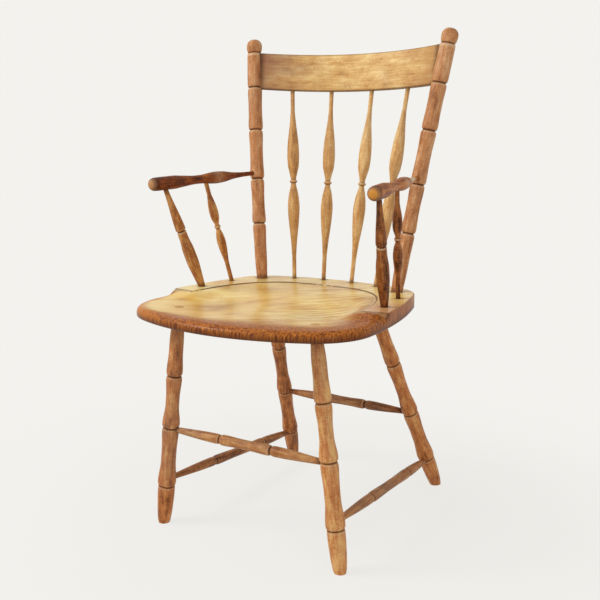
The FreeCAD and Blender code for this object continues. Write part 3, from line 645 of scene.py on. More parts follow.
# %% [markdown]
# ## Turning a stick
#
# `turn_stick` takes a profile and the two ends of its axis, hands its line of points to the
# lathe tree, and gives the finished piece the name of what it is. Left pieces are mirrored
# copies of right ones on this chair, but each is turned anew with its own seed, because no
# two hand-turned sticks are alike.

# %% The stick maker
SEEDS = iter(range(1, 100))


def turn_stick(node, slot, profile, foot, top, tone, bend=Vector((0, 0, 0)), facets=40):
    """Turns one stick from foot to top and puts it in the place of its CAD node."""
    points = [(0.0, 0.0, z) for z in profile["z"]]
    edges = [(i, i + 1) for i in range(len(points) - 1)]
    marks = {key: profile[key] for key in ("groove", "lip", "joint")}
    marks["turn_radius"] = profile["radius"]
    marks["tone"] = np.full(len(points), tone)
    piece = plain_object(node + "_turned", points, edges, marks=marks)
    run_tree(
        piece, LATHE, Facets=facets, Length=(top - foot).length, Foot=tuple(foot),
        Lean=tuple(lean_of(top - foot)), Bend=tuple(bend), Seed=float(next(SEEDS)) * 3.7,
        Finish=WOODS[slot],
    )
    tidy_faces(piece)
    return stands_for(piece, slot, node)


def flipped(point):
    return Vector((-point.x, point.y, point.z))


SIDES = {"right": lambda point: point, "left": flipped}
print("ready to turn", len(SIDES), "sides")

# %% [markdown]
# ## Legs
#
# Three rings divide a leg into four segments. The front legs stand nearly upright and their
# tenons come up through the seat. The rear legs rake back strongly. The feet taper, and as
# a chair maker does, we leave them too long at first and saw them off level with the floor.

# %% Legs
BELOW_FLOOR = -0.012
SAW_HEIGHT = 0.0001
LEG_TONES = {"front_right": 0.62, "front_left": 0.42, "rear_right": 0.45, "rear_left": 0.30}
LEG_RINGS = {"front": (0.194, 0.489, 0.744), "rear": (0.169, 0.442, 0.723)}


def leg_profile(length, rings):
    """Stations of a leg from below the floor to the seat's underside."""
    low, middle, high = (length * share for share in rings)
    start, end = (BELOW_FLOOR, 0.0098), (length + 0.004, 0.0106)
    ring_sizes = [(low, 0.0160, 0.0172), (middle, 0.0156, 0.0163), (high, 0.0146, 0.0149)]
    profile = bamboo(start, end, ring_sizes, (0.0146, 0.0139, 0.0125, 0.0129))
    below = profile["z"] < low
    foot_keys = [
        (BELOW_FLOOR, 0.0088), (0.0, 0.0104), (0.006, 0.0120),
        (low * 0.45, 0.0146), (low * 0.8, 0.0158), (low, 0.0158),
    ]
    groove = RING_DEPTH * hump(profile["z"], low, RING_WIDTH)
    profile["radius"] = np.where(below, flowing(foot_keys, profile["z"]) - groove, profile["radius"])
    return mark_joints(profile, [length + 0.002], 0.005)


def saw_level(piece):
    """Saws the foot off at the floor and closes the cut."""
    shape = bmesh.new()
    shape.from_mesh(piece.data)
    everything = list(shape.verts) + list(shape.edges) + list(shape.faces)
    bmesh.ops.bisect_plane(
        shape, geom=everything, plane_co=(0, 0, SAW_HEIGHT), plane_no=(0, 0, 1), clear_inner=True
    )
    bmesh.ops.holes_fill(shape, edges=[edge for edge in shape.edges if edge.is_boundary])
    bmesh.ops.recalc_face_normals(shape, faces=shape.faces)
    shape.to_mesh(piece.data)
    shape.free()
    piece.data.set_sharp_from_angle(angle=SHARP_ANGLE)
    return piece


for end, leg in (("front", FRONT_LEG), ("rear", REAR_LEG)):
    for side, place in SIDES.items():
        foot, top = place(leg[0]), place(leg[1])
        profile, label = leg_profile((top - foot).length, LEG_RINGS[end]), end + "_" + side
        piece = saw_level(turn_stick("leg_" + label, "leg_wood", profile, foot, top, LEG_TONES[label]))
        print(piece.name, len(piece.data.polygons), "faces")

# %% [markdown]
# ## Stretchers
#
# Stretchers keep the legs from spreading. Each is a slim bamboo stick with two rings. It is
# thickest in the middle and thin where it enters the legs, because only a small hole leaves
# a leg strong enough.

# %% Stretchers
STRETCHER_TONES = {"front": 0.60, "rear": 0.40, "right": 0.5, "left": 0.35}


def stretcher_profile(length, rings):
    near, far = (length * share for share in rings)
    start, end = (0.004, 0.0047), (length - 0.004, 0.0047)
    profile = bamboo(start, end, [(near, 0.0092, 0.0099), (far, 0.0099, 0.0094)], (None, 0.0088, None))
    return mark_joints(profile, [0.016, length - 0.016], 0.005)


def put_stretcher(label, first, second, rings):
    profile = stretcher_profile((second - first).length, rings)
    turn_stick("stretcher_" + label, "stretcher_wood", profile, first, second, STRETCHER_TONES[label])


for label, leg, height in (("front", FRONT_LEG, 0.190), ("rear", REAR_LEG, 0.174)):
    right = on_leg(leg, height)
    put_stretcher(label, flipped(right), right, (0.34, 0.66))
for side, place in SIDES.items():
    front, rear = place(on_leg(FRONT_LEG, 0.088)), place(on_leg(REAR_LEG, 0.062))
    put_stretcher(side, front, rear, (0.34, 0.74))
print("stretchers done")

# %% [markdown]
# ## Back posts
#
# A back post is one turning from the seat to the ball on its top. It leans back and out,
# and it was bent a little while it was green. Four rings divide it, and the ball is the
# last thing that the turner shaped.

# %% Back posts
BALL = 0.0285
POST_TONES = {"right": 0.50, "left": 0.46}


def post_profile(length):
    rings = [length * share for share in (0.229, 0.416, 0.620, 0.797)]
    neck = length - BALL
    sizes = list(zip(rings, (0.0134, 0.0139, 0.0145, 0.0147), (0.0140, 0.0144, 0.0148, 0.0149)))
    profile = bamboo((-0.004, 0.0106), (neck, 0.0146), sizes, (0.0124, 0.0128, 0.0133, 0.0139, None))
    z = np.linspace(neck, length, 34)[1:]
    ball_keys = [
        (0, 0.0118), (0.10, 0.0139), (0.30, 0.0153), (0.50, 0.0156), (0.72, 0.0143),
        (0.88, 0.0108), (0.96, 0.0068), (1.0, 0.0012),
    ]
    ball = flowing([(neck + share * BALL, radius) for share, radius in ball_keys], z)
    near_neck = hump(profile["z"], neck, 0.0012)
    profile["radius"] = profile["radius"] - 0.0028 * near_neck
    profile["groove"] = profile["groove"] + near_neck
    # A pale lip below the ball's neck: rubbed wear and a painted highlight.
    profile["lip"] = profile["lip"] + hump(profile["z"], neck - 0.0034, 0.0014)
    extra = dict(z=z, radius=ball, groove=hump(z, neck, 0.0012), lip=np.zeros(33), joint=np.zeros(33))
    profile = {key: np.concatenate([profile[key], extra[key]]) for key in profile}
    return mark_joints(profile, [0.001], 0.005)


for side, place in SIDES.items():
    foot, top, bend = place(POST_FOOT), place(POST_TOP), place(POST_BEND)
    profile = post_profile((top - foot).length)
    post = turn_stick("back_post_" + side, "post_wood", profile, foot, top, POST_TONES[side], bend, 48)
    print(post.name, len(post.data.polygons), "faces")

# %% [markdown]
# ## Back spindles
#
# Each spindle has two long bulbs with a small ring between them. Their widest place lies
# close to the ring, so the bulbs look like drops that hang from it and stand on it. The
# numbers are shares of the way from the ring to the spindle's end, with the radius there.

# %% Back spindles
CREST_BOW = 0.044
CREST_HEIGHT = 0.073
CREST_RADIUS = (CREST_AT.x ** 2 + CREST_BOW ** 2) / (2 * CREST_BOW)
CREST_UP = Vector((0, CREST_LEAN.y, CREST_LEAN.z)).normalized()
CREST_BACK = Vector((0, CREST_UP.z, -CREST_UP.y))
ROW_BACK = 0.1077 + BACK_SHIFT


def on_row(x):
    """A point of the seat on the arc that the back's sticks stand on."""
    depth = ROW_BACK - POST_FOOT.y
    radius = (POST_FOOT.x ** 2 + depth ** 2) / (2 * depth)
    return Vector((x, ROW_BACK - radius + math.sqrt(radius ** 2 - x ** 2), SEAT_TOP))


def on_crest(x, up):
    """A point in the middle of the bent rail's thickness."""
    bow = CREST_BOW - CREST_RADIUS + math.sqrt(CREST_RADIUS ** 2 - x ** 2)
    return Vector((x, CREST_AT.y, CREST_AT.z)) + CREST_BACK * bow + CREST_UP * up


UPPER_BULB = (
    (0, 0.0050), (0.03, 0.0058), (0.09, 0.0082), (0.165, 0.0112), (0.28, 0.0122), (0.43, 0.0109),
    (0.54, 0.0085), (0.69, 0.0054), (0.82, 0.0039), (1.0, 0.0031),
)
LOWER_BULB = (
    (0, 0.0048), (0.03, 0.0056), (0.09, 0.0086), (0.16, 0.0108), (0.25, 0.0121), (0.375, 0.0109),
    (0.48, 0.0090), (0.59, 0.0066), (0.70, 0.0050), (0.80, 0.0040), (0.93, 0.0039), (1.0, 0.0041),
)


def spindle_profile(length, ring_place, size=1.0, ring_radius=0.0080, ends=(0.004, 0.003)):
    """Profile of a ringed spindle. size scales the bulbs, and ends reach into the sockets."""
    middle, half = length * ring_place, 0.0024
    z = places_along(-ends[0], length + ends[1], [middle])
    low = flowing([(middle - half - share * (middle - half), r) for share, r in LOWER_BULB][::-1], z)
    top = length - middle - half
    high = flowing([(middle + half + share * top, r) for share, r in UPPER_BULB], z)
    radius = np.where(z < middle, low, high) * size
    bead = np.clip(1 - ((z - middle) / (half * 1.25)) ** 2, 0, 1) ** 0.5
    radius = np.maximum(radius, 0.0042 + (ring_radius - 0.0042) * bead)
    groove = 0.8 * (hump(z, middle - half * 1.35, 0.0011) + 0.7 * hump(z, middle + half * 1.35, 0.0010))
    # A pale lip on the ring: rubbed wear and a painted highlight.
    lip = 0.8 * hump(z, middle + half * 0.3, 0.0014)
    profile = dict(z=z, radius=radius, groove=groove, lip=lip, joint=np.zeros(len(z)))
    return mark_joints(profile, [0.001, length], 0.006)


SPINDLE_FEET = {"inner": 0.210, "outer": 0.609}
SPINDLE_TOPS = {"inner": 0.217, "outer": 0.619}
SPINDLE_TONES = {"inner_left": 0.46, "inner_right": 0.58, "outer_left": 0.40, "outer_right": 0.60}
for label in SPINDLE_FEET:
    for side, place in SIDES.items():
        foot = place(on_row(POST_FOOT.x * SPINDLE_FEET[label]))
        top = place(on_crest(CREST_AT.x * SPINDLE_TOPS[label], -CREST_HEIGHT / 2))
        profile, name = spindle_profile((top - foot).length, 0.518), label + "_" + side
        tone = SPINDLE_TONES[name]
        turn_stick("back_spindle_" + name, "spindle_wood", profile, foot, top, tone, facets=36)
print("spindles done")

# %% [markdown]
# ## Arms and the sticks under them
#
# An arm is a club: a fat handle in front that the palm closes on, a waist, a swell where
# the short spindle comes in, and a thin tail that enters the post. The stick under its
# front is a raked two-segment bamboo turning, and the one behind it is a small copy of the
# back spindles.

# %% Arms
ARM_POST_FOOT = Vector((0.1977, -0.0823 + BACK_SHIFT, SEAT_TOP))
ARM_SPINDLE_FOOT = Vector((0.1852, -0.0006 + BACK_SHIFT, SEAT_TOP))
ARM_TONES = {"right": 0.62, "left": 0.34}
ARM_POST_TONES = {"right": 0.30, "left": 0.62}
ARM_SPINDLE_TONES = {"right": 0.32, "left": 0.66}


def arm_profile(length):
    start = -0.0107
    z = places_along(start, length - 0.002, [0.0])
    keys = [
        (start, 0.0010), (start + 0.0012, 0.0056), (start + 0.0035, 0.0091), (start + 0.0070, 0.0113),
        (0.0, 0.0122), (0.012, 0.0126), (0.045, 0.0126), (0.070, 0.0106), (0.102, 0.0083), (0.116, 0.0084),
        (0.140, 0.0107), (0.157, 0.0117), (0.174, 0.0109), (0.204, 0.0066), (0.236, 0.0046),
        (length - 0.014, 0.0044), (length, 0.0044),
    ]
    groove = 0.30 * hump(z, 0.0012, 0.0011)
    # Pale lips on the knob and the swell: rubbed wear and a painted highlight.
    lip = 0.25 * hump(z, -0.006, 0.003) + 0.35 * hump(z, 0.157, 0.012)
    profile = dict(z=z, radius=flowing(keys, z), groove=groove, lip=lip, joint=np.zeros(len(z)))
    return mark_joints(profile, [length - 0.013], 0.004)


def arm_post_profile(length):
    ring = length * 0.552
    z = places_along(-0.004, length - 0.006, [ring])
    keys = [
        (-0.004, 0.0060), (0.002, 0.0066), (length * 0.14, 0.0096), (length * 0.26, 0.0116),
        (length * 0.36, 0.0114), (ring - 0.016, 0.0090), (ring - 0.001, 0.0088), (ring + 0.001, 0.0097),
        (ring + 0.007, 0.0096), (ring + 0.030, 0.0083), (ring + 0.062, 0.0056), (length - 0.006, 0.0040),
    ]
    radius = flowing(keys, z) - RING_DEPTH * hump(z, ring, RING_WIDTH)
    # The pale lip below the ring is rubbed wear and a painted highlight.
    groove, lip = hump(z, ring, 0.0013), hump(z, ring - 0.0028, 0.0016)
    profile = dict(z=z, radius=radius, groove=groove, lip=lip, joint=np.zeros(len(z)))
    return mark_joints(profile, [0.002, length - 0.012], 0.007)


for side, place in SIDES.items():
    knob, hold = place(ARM_KNOB), place(ARM_HOLD)
    profile = arm_profile((hold - knob).length)
    turn_stick("arm_" + side, "arm_wood", profile, knob, hold, ARM_TONES[side], facets=48)
    foot, top = place(ARM_POST_FOOT), place(ARM_KNOB + ARM_WAY * 0.0216)
    profile = arm_post_profile((top - foot).length)
    turn_stick("arm_post_" + side, "arm_stick_wood", profile, foot, top, ARM_POST_TONES[side])
    foot, top = place(ARM_SPINDLE_FOOT), place(ARM_KNOB + ARM_WAY * 0.127)
    profile = spindle_profile((top - foot).length, 0.541, 0.73, 0.0062, (0.004, -0.004))
    tone = ARM_SPINDLE_TONES[side]
    turn_stick("arm_spindle_" + side, "arm_stick_wood", profile, foot, top, tone, facets=32)
print("arms done")

# %% [markdown]
# ## The seat's outline
#
# The plank's outline is five arcs on each side that run into each other without a corner.
# Drawn that way, it can be moved inwards by any distance along its own normals, and every
# ring of the mesh follows it: the rolled top edge, the widest line, the bevel beneath.

# %% Seat outline
HALF_WIDTH, FRONT, BACK = 0.231, 0.3289, 0.122
ARC_RADII = (0.396, 0.106, 0.820, 0.076, 0.520)
ARC_SAMPLES = 90
DECK_FRONT, DECK_BACK_LINE, DECK_TIP = -0.136, 0.055, 0.181
LINE_FULLNESS, LINE_TAPER = 3.0, 0.14


def outline_arcs():
    """(centre, radius) of the right half's arcs, from the front round to the back."""
    front_r, corner_r, side_r, rear_r, back_r = ARC_RADII
    front = np.array([0, front_r - FRONT])
    corner_x = HALF_WIDTH - corner_r
    corner = np.array([corner_x, front[1] - math.sqrt((front_r - corner_r) ** 2 - corner_x ** 2)])
    side = np.array([HALF_WIDTH - side_r, corner[1]])
    back = np.array([0, BACK - back_r])
    first, second = side_r - rear_r, back_r - rear_r
    apart = np.linalg.norm(back - side)
    toward = (back - side) / apart
    along = (apart ** 2 + first ** 2 - second ** 2) / (2 * apart)
    rear = side + toward * along + np.array([-toward[1], toward[0]]) * math.sqrt(first ** 2 - along ** 2)
    return list(zip((front, corner, side, rear, back), ARC_RADII))


def right_outline():
    """Points and outward normals from the middle of the front to the middle of the back."""
    arcs = outline_arcs()
    joins = []
    for (centre, radius), (other, other_radius) in zip(arcs, arcs[1:]):
        way = other - centre if radius > other_radius else centre - other
        joins.append(math.atan2(way[1], way[0]))
    starts, ends = [-math.pi / 2] + joins, joins + [math.pi / 2]
    points, normals = [], []
    for (centre, radius), start, end in zip(arcs, starts, ends):
        for angle in np.linspace(start, end, ARC_SAMPLES):
            normal = np.array([math.cos(angle), math.sin(angle)])
            points.append(centre + normal * radius)
            normals.append(normal)
    return np.array(points), np.array(normals)


edge_points, edge_normals = right_outline()
seat_size = 2 * edge_points[:, 0].max(), np.ptp(edge_points[:, 1])
print("seat is %.4f m wide and %.4f m deep" % seat_size)

# %% [markdown]
# ## The seat's mesh
#
# The top has two levels. A flat deck carries the sticks, and inside a scribed line the
# plank is cut away for the sitter. A grid would meet that line at a slant and fray it, so
# the mesh grows in rings from the middle of the dish: the scribed line is itself a ring,
# doubled to make a crisp step. Each front end of the deck lies between two spokes that meet
# at the line's tip and fan out from there, which makes the short ramp down to the roll.
#
# Each point also stores what the finish needs: how far it lies from the edge, whether it is
# in the dish, and how near it is to the line or to a socket.

# %% The scribed line
FRONT_SPOKES, BACK_SPOKES = 96, 78
DISH_ROWS, RIM_ROWS, ROLL_ROWS = 44, 14, 9
DISH_MIDDLE = np.array([0.0, -0.085])
BEVEL_TOP, BEVEL_WIDTH = 0.409, 0.060
ROLL_WIDTH, DECK_EASE = 0.013, 0.0025
TIP_GAP, TIP_SPACE = 0.0005, 0.0018
RAMP_FRONT, RAMP_BACK = 0.014, 0.009


def scribed_half():
    """The line round the dish, right half, from its tip to the middle of the back."""
    turn = np.linspace(0, math.pi / 2, 400)
    along = np.sin(turn) ** (2 / LINE_FULLNESS)
    across = np.abs(np.cos(turn)) ** (2 / LINE_FULLNESS)
    x = DECK_TIP * (1 - LINE_TAPER * along) * across
    return np.stack([x, DECK_FRONT + (DECK_BACK_LINE - DECK_FRONT) * along], 1)


def inside_line(x, y):
    """How far a place lies inside the scribed line, or in front of the deck's ends."""
    x, along = np.abs(x), (y - DECK_FRONT) / (DECK_BACK_LINE - DECK_FRONT)
    rising = np.clip(along, 0, 1)
    across = x / (DECK_TIP * (1 - LINE_TAPER * rising))
    reach = (np.maximum(along, 0) ** LINE_FULLNESS + across ** LINE_FULLNESS) ** (1 / LINE_FULLNESS)
    ahead = np.hypot(np.maximum(0, DECK_TIP - x), y - DECK_FRONT)
    return np.where(along > 0, np.maximum(0, (1 - reach) * DECK_TIP), ahead)


def run_of(points):
    return np.concatenate([[0], np.cumsum(np.linalg.norm(np.diff(points, axis=0), axis=1))])


def at_run(points, run, places):
    return np.stack([np.interp(places, run, points[:, k]) for k in range(points.shape[1])], 1)


def unit_rows(rows):
    return rows / np.linalg.norm(rows, axis=1)[:, None]


line_half = scribed_half()
print("scribed line, right half:", round(1000 * run_of(line_half)[-1]), "mm long")

# %% The seat's spokes


def front_spokes(run, tip_run):
    """Inner and outer ends of the spokes in front of the deck."""
    places = np.append(np.linspace(0, tip_run - TIP_SPACE, FRONT_SPOKES), tip_run - TIP_GAP)
    rim_places = places - RAMP_FRONT * eased(places, tip_run - 0.05, tip_run)
    outer, normal = at_run(edge_points, run, rim_places), unit_rows(at_run(edge_normals, run, rim_places))
    to_tip = eased(places, tip_run - 0.060, tip_run)[:, None]
    tips = np.stack([np.full(len(places), DECK_TIP), DECK_FRONT + places - tip_run], 1)
    return (outer - normal * 0.050) * (1 - to_tip) + tips * to_tip, outer, normal


def back_spokes(run, tip_run):
    """Inner and outer ends of the spokes that cross the deck."""
    places = np.append(tip_run + TIP_GAP, np.linspace(tip_run + TIP_SPACE, run[-1], BACK_SPOKES))
    rim_places = places + RAMP_BACK * (1 - eased(places, tip_run, tip_run + 0.04))
    outer, normal = at_run(edge_points, run, rim_places), unit_rows(at_run(edge_normals, run, rim_places))
    line_run = run_of(line_half)
    share = (places - tip_run) / (run[-1] - tip_run)
    return at_run(line_half, line_run, share * line_run[-1]), outer, normal


edge_run = run_of(edge_points)
tip_run = np.interp(DECK_FRONT, edge_points[:, 1], edge_run)
front_part, back_part = front_spokes(edge_run, tip_run), back_spokes(edge_run, tip_run)
inner_ends, outer_ends, edge_ways = (np.append(f, b, axis=0) for f, b in zip(front_part, back_part))
deck = np.append(np.zeros(len(front_part[0])), np.ones(len(back_part[0])))
print("spokes in the right half:", len(deck))

# %% The seat's rings
# How far in from the outline, and how high the rolled front is there.
ROLL_KEYS = [(0, 0.4160), (0.0008, 0.4192), (0.0039, 0.4232), (0.013, 0.4270), (0.030, 0.4350), (0.5, 0.4351)]
# Rings close to the scribed line, before it on the dish's side and after it on the deck's.
LINE_OFFSETS = (-0.0011, -0.0004, 0.0004, 0.0011, 0.0026)
# The upright band and the small round under it: share of the bevel's width, height.
BAND_LEVELS = [(0, 0.4152), (0, 0.4102), (0.024, 0.4084)]
BEVEL_SHARES = (0.25, 0.5, 0.75, 0.97)


def nearest(points, targets):
    """Distance in plan from each point to the nearest target."""
    best = np.full(len(points), 9.0)
    for target in targets:
        best = np.minimum(best, np.hypot(points[:, 0] - target[0], points[:, 1] - target[1]))
    return best


def plank_height(xy):
    """Height of the uncut plank: flat on the deck, rolled over in front of it."""
    rolled = flowing(ROLL_KEYS, nearest(xy, at_run(edge_points, edge_run, np.linspace(0, edge_run[-1], 500))))
    return np.where(deck > 0.5, SEAT_TOP, np.minimum(rolled, SEAT_TOP))


def top_rings():
    """Rings (xy, z, carve) from the dish's middle to where the edge starts to round over."""
    away, everywhere = unit_rows(inner_ends - DISH_MIDDLE), np.ones(len(deck))
    last = inner_ends - away * LINE_OFFSETS[-1]
    rings = []
    for share in np.linspace(0, 1, DISH_ROWS)[1:]:
        rings.append((DISH_MIDDLE + (last - DISH_MIDDLE) * share, SEAT_TOP * everywhere, everywhere))
    for offset in LINE_OFFSETS:
        carve = everywhere if offset < 0 else 1 - deck
        rings.append((inner_ends + away * offset, SEAT_TOP * everywhere, carve))
    inset = (ROLL_WIDTH * (1 - deck) + DECK_EASE * deck)[:, None]
    start, end = rings[-1][0], outer_ends - edge_ways * inset
    for share in np.linspace(0, 1, RIM_ROWS)[1:]:
        xy = start + (end - start) * share
        rings.append((xy, plank_height(xy), 1 - deck))
    return rings


def edge_rings():
    """Rings round the rolled or eased top edge, the upright band and the bevel beneath."""
    rings = []
    inset = ROLL_WIDTH * (1 - deck) + DECK_EASE * deck
    for angle in np.linspace(0, math.pi / 2, ROLL_ROWS)[1:]:
        width = inset * (1 - math.sin(angle))
        eased_deck = SEAT_TOP - DECK_EASE * (1 - math.cos(angle))
        height = np.where(deck > 0.5, eased_deck, flowing(ROLL_KEYS, width))
        rings.append((outer_ends - edge_ways * width[:, None], height, 1 - deck))
    flat = np.ones(len(deck))
    bevel = [(share, BEVEL_TOP - (BEVEL_TOP - SEAT_BOTTOM) * share) for share in BEVEL_SHARES]
    for share, height in BAND_LEVELS + bevel + [(1.03, SEAT_BOTTOM)]:
        rings.append((outer_ends - edge_ways * BEVEL_WIDTH * share, height * flat, 0 * flat))
    rim = rings[-1][0]
    for share in (0.7, 0.4, 0.15):
        rings.append((DISH_MIDDLE + (rim - DISH_MIDDLE) * share, SEAT_BOTTOM * flat, 0 * flat))
    return rings


half_rings = top_rings() + edge_rings()
print("rings:", len(half_rings))

# %% The seat's mesh


def both_halves(values, flip=False):
    """A right-half row continued by its mirror image, without doubling the middle points."""
    left = values[::-1][1:-1].copy()
    if flip:
        left[:, 0] *= -1
    return np.concatenate([values, left])


def ring_faces(rings, spokes):
    """Quads between the rings and triangles to the two middle points that follow them."""
    faces = []
    top, bottom, last = rings * spokes, rings * spokes + 1, (rings - 1) * spokes
    for i in range(spokes):
        j = (i + 1) % spokes
        for low in range(0, last, spokes):
            faces.append((low + i, low + spokes + i, low + spokes + j, low + j))
        faces += [(top, i, j), (bottom, last + j, last + i)]
    return faces


seat_points = [np.column_stack([both_halves(xy, True), both_halves(z)]) for xy, z, _ in half_rings]
spoke_count = len(seat_points[0])
seat_points = np.concatenate(seat_points + [[[*DISH_MIDDLE, SEAT_TOP], [*DISH_MIDDLE, SEAT_BOTTOM]]])
seat_carve = np.concatenate([both_halves(carve) for _, _, carve in half_rings] + [[1.0, 0.0]])
seat_faces = ring_faces(len(half_rings), spoke_count)
print("seat mesh:", len(seat_points), "points,", len(seat_faces), "faces")

# %% [markdown]
# ## Marks on the seat for its finish
#
# The dish is worn to a bright honey colour and the rolled front is darker. Every socket
# gets a ring of painted contact shade, and the scribed line is painted dark, as dirt and as
# the shadow of its small step, with a painted highlight just inside it. These marks are
# distances, so they are worked out once for each point: to the outline, to the line and to
# the nearest stick.

# %% Seat marks
# The radius of each stick where it meets the deck: post, two spindles, arm post, arm spindle.
STICK_RADII = (0.0115, 0.0050, 0.0050, 0.0072, 0.0050)
TOP_FROM = 0.4159


def doubled(points):
    return np.concatenate([points, points * np.array([-1, 1])])


def socket_shade_marks(plan):
    """Painted contact shade: 1 at the foot of each stick that stands on the deck, 0 a few millimetres away.
    """
    mark = np.zeros(len(plan))
    back_feet = [POST_FOOT] + [on_row(POST_FOOT.x * share) for share in SPINDLE_FEET.values()]
    for foot, radius in zip(back_feet + [ARM_POST_FOOT, ARM_SPINDLE_FOOT], STICK_RADII):
        gap = np.hypot(np.abs(plan[:, 0]) - foot.x, plan[:, 1] + BACK_SHIFT - foot.y)
        mark = np.maximum(mark, 1 - eased(gap, radius + 0.0010, radius + 0.0065))
    return mark


plan, height = seat_points[:, :2], seat_points[:, 2]
outline_loop = doubled(at_run(edge_points, edge_run, np.linspace(0, edge_run[-1], 400)))
deck_corner = at_run(edge_points, edge_run, [tip_run + TIP_GAP + RAMP_BACK])[0]
end_line = np.linspace((DECK_TIP, DECK_FRONT), deck_corner, 30)
line_gap = nearest(plan, doubled(np.concatenate([line_half[::2], end_line])))
on_top = height > TOP_FROM
edge_gap = np.where(on_top, nearest(plan, outline_loop), 0.0)
# The line mark paints the scribed line dark, as dirt and the shadow of its step; the pale line mark just
# inside it is a painted highlight; the socket mark is painted contact shade.
marks = dict(
    carve=seat_carve, socket=socket_shade_marks(plan), edge_gap=edge_gap,
    inside=inside_line(plan[:, 0], plan[:, 1]),
    line=np.where(on_top, 1 - eased(line_gap, 0.0006, 0.0020), 0),
    line_pale=np.where(on_top, hump(line_gap, 0.0034, 0.0016) * seat_carve, 0),
)
seat_points[:, 1] += BACK_SHIFT
plank = plain_object("seat_saddled", seat_points, faces=seat_faces, marks=marks)
print("widest edge distance", round(float(edge_gap.max()), 3), "m")

# %% [markdown]
# ## Geometry Nodes: the saddle
#
# A chair maker hollows the seat with an adze and a travisher. The cut follows a rule: it
# starts as a low step at the scribed line and deepens away from it, it falls a little
# towards the front, and it is deepest in two round hollows where the sitter's thighs rest,
# with a low ridge left between them. A rule like that is a formula of the place on the
# plank, so a small node tree lowers each point by it. The carve mark on the mesh says where
# the tool went and where the deck was left standing.

# %% The saddle tree
LINE_STEP, LINE_EASE = 0.0016, 0.042
FALL, FALL_START, FALL_LENGTH = 0.0064, 0.1029, 0.250
HOLLOW_DEPTH, HOLLOW_APART, HOLLOW_WIDTH = 0.008, 0.190, 0.078
HOLLOW_MIDDLE, HOLLOW_LENGTH = -0.1061, 0.100


def bell(tree, value, centre, width):
    """exp(-((value - centre) / width) squared), written with Math nodes."""
    off = maths(tree, "DIVIDE", maths(tree, "SUBTRACT", value, centre), width)
    return maths(tree, "EXPONENT", maths(tree, "MULTIPLY", maths(tree, "MULTIPLY", off, off), -1.0))


def build_saddle():
    tree = bpy.data.node_groups.new("saddle", "GeometryNodeTree")
    add_socket(tree, "Plank", "Geometry")
    sizes = (
        ("Top", SEAT_TOP), ("Step", LINE_STEP), ("Ease", LINE_EASE), ("Fall", FALL),
        ("Fall Start", FALL_START), ("Fall Length", FALL_LENGTH), ("Hollow Depth", HOLLOW_DEPTH),
        ("Hollow Apart", HOLLOW_APART), ("Hollow Width", HOLLOW_WIDTH),
        ("Hollow Length", HOLLOW_LENGTH), ("Hollow Middle", HOLLOW_MIDDLE),
    )
    for label, value in sizes:
        add_socket(tree, label, "Float", value)
    add_socket(tree, "Finish", "Material")
    add_socket(tree, "Seat", "Geometry", is_output=True)
    given = tree.nodes.new("NodeGroupInput").outputs
    place = tree.nodes.new("GeometryNodeInputPosition").outputs[0]
    place = new_node(tree, "ShaderNodeSeparateXYZ", Vector=place).outputs
    back_of = maths(tree, "SUBTRACT", given["Fall Start"], place["Y"])
    slope = spread(tree, maths(tree, "DIVIDE", back_of, given["Fall Length"]), 0.0, 1.0)
    fall = maths(tree, "MULTIPLY", slope, given["Fall"])
    half = maths(tree, "MULTIPLY", given["Hollow Apart"], 0.5)
    right = bell(tree, place["X"], half, given["Hollow Width"])
    left = bell(tree, place["X"], maths(tree, "MULTIPLY", half, -1.0), given["Hollow Width"])
    along = bell(tree, place["Y"], given["Hollow Middle"], given["Hollow Length"])
    hollow = maths(tree, "MULTIPLY", maths(tree, "ADD", right, left), along)
    depth = maths(tree, "ADD", fall, maths(tree, "MULTIPLY", hollow, given["Hollow Depth"]))
    near_line = spread(tree, maths(tree, "DIVIDE", stored(tree, "inside"), given["Ease"]), 0.0, 1.0)
    depth = maths(tree, "ADD", maths(tree, "MULTIPLY", depth, near_line), given["Step"])
    dished = maths(tree, "SUBTRACT", given["Top"], depth)
    waste = maths(tree, "SUBTRACT", place["Z"], maths(tree, "SMOOTH_MIN", place["Z"], dished, 0.0015))
    lowered = maths(tree, "MULTIPLY", waste, maths(tree, "MULTIPLY", stored(tree, "carve"), -1.0))
    down = new_node(tree, "ShaderNodeCombineXYZ", None, Z=lowered)
    carved = new_node(tree, "GeometryNodeSetPosition", Geometry=given["Plank"], Offset=down.outputs[0])
    real = new_node(tree, "GeometryNodeRealizeInstances", Geometry=carved.outputs[0])
    done = new_node(tree, "GeometryNodeSetMaterial", Geometry=real.outputs[0], Material=given["Finish"])
    out = tree.nodes.new("NodeGroupOutput")
    tree.links.new(done.outputs[0], out.inputs["Seat"])
    return tree


def saddle_top(x, y):
    """Height of the dished surface, the same rule as the tree's, y in the chair's frame."""
    fall = FALL * eased(FALL_START - y, 0.0, FALL_LENGTH)
    right, left = hump(x, HOLLOW_APART / 2, HOLLOW_WIDTH), hump(x, -HOLLOW_APART / 2, HOLLOW_WIDTH)
    hollow = (right + left) * hump(y, HOLLOW_MIDDLE, HOLLOW_LENGTH)
    near_line = eased(inside_line(x, y - BACK_SHIFT), 0.0, LINE_EASE)
    return SEAT_TOP - LINE_STEP - (fall + HOLLOW_DEPTH * hollow) * near_line


SADDLE = build_saddle()
print("deepest cut", round(1000 * (SEAT_TOP - float(saddle_top(HOLLOW_APART / 2, HOLLOW_MIDDLE))), 1), "mm")

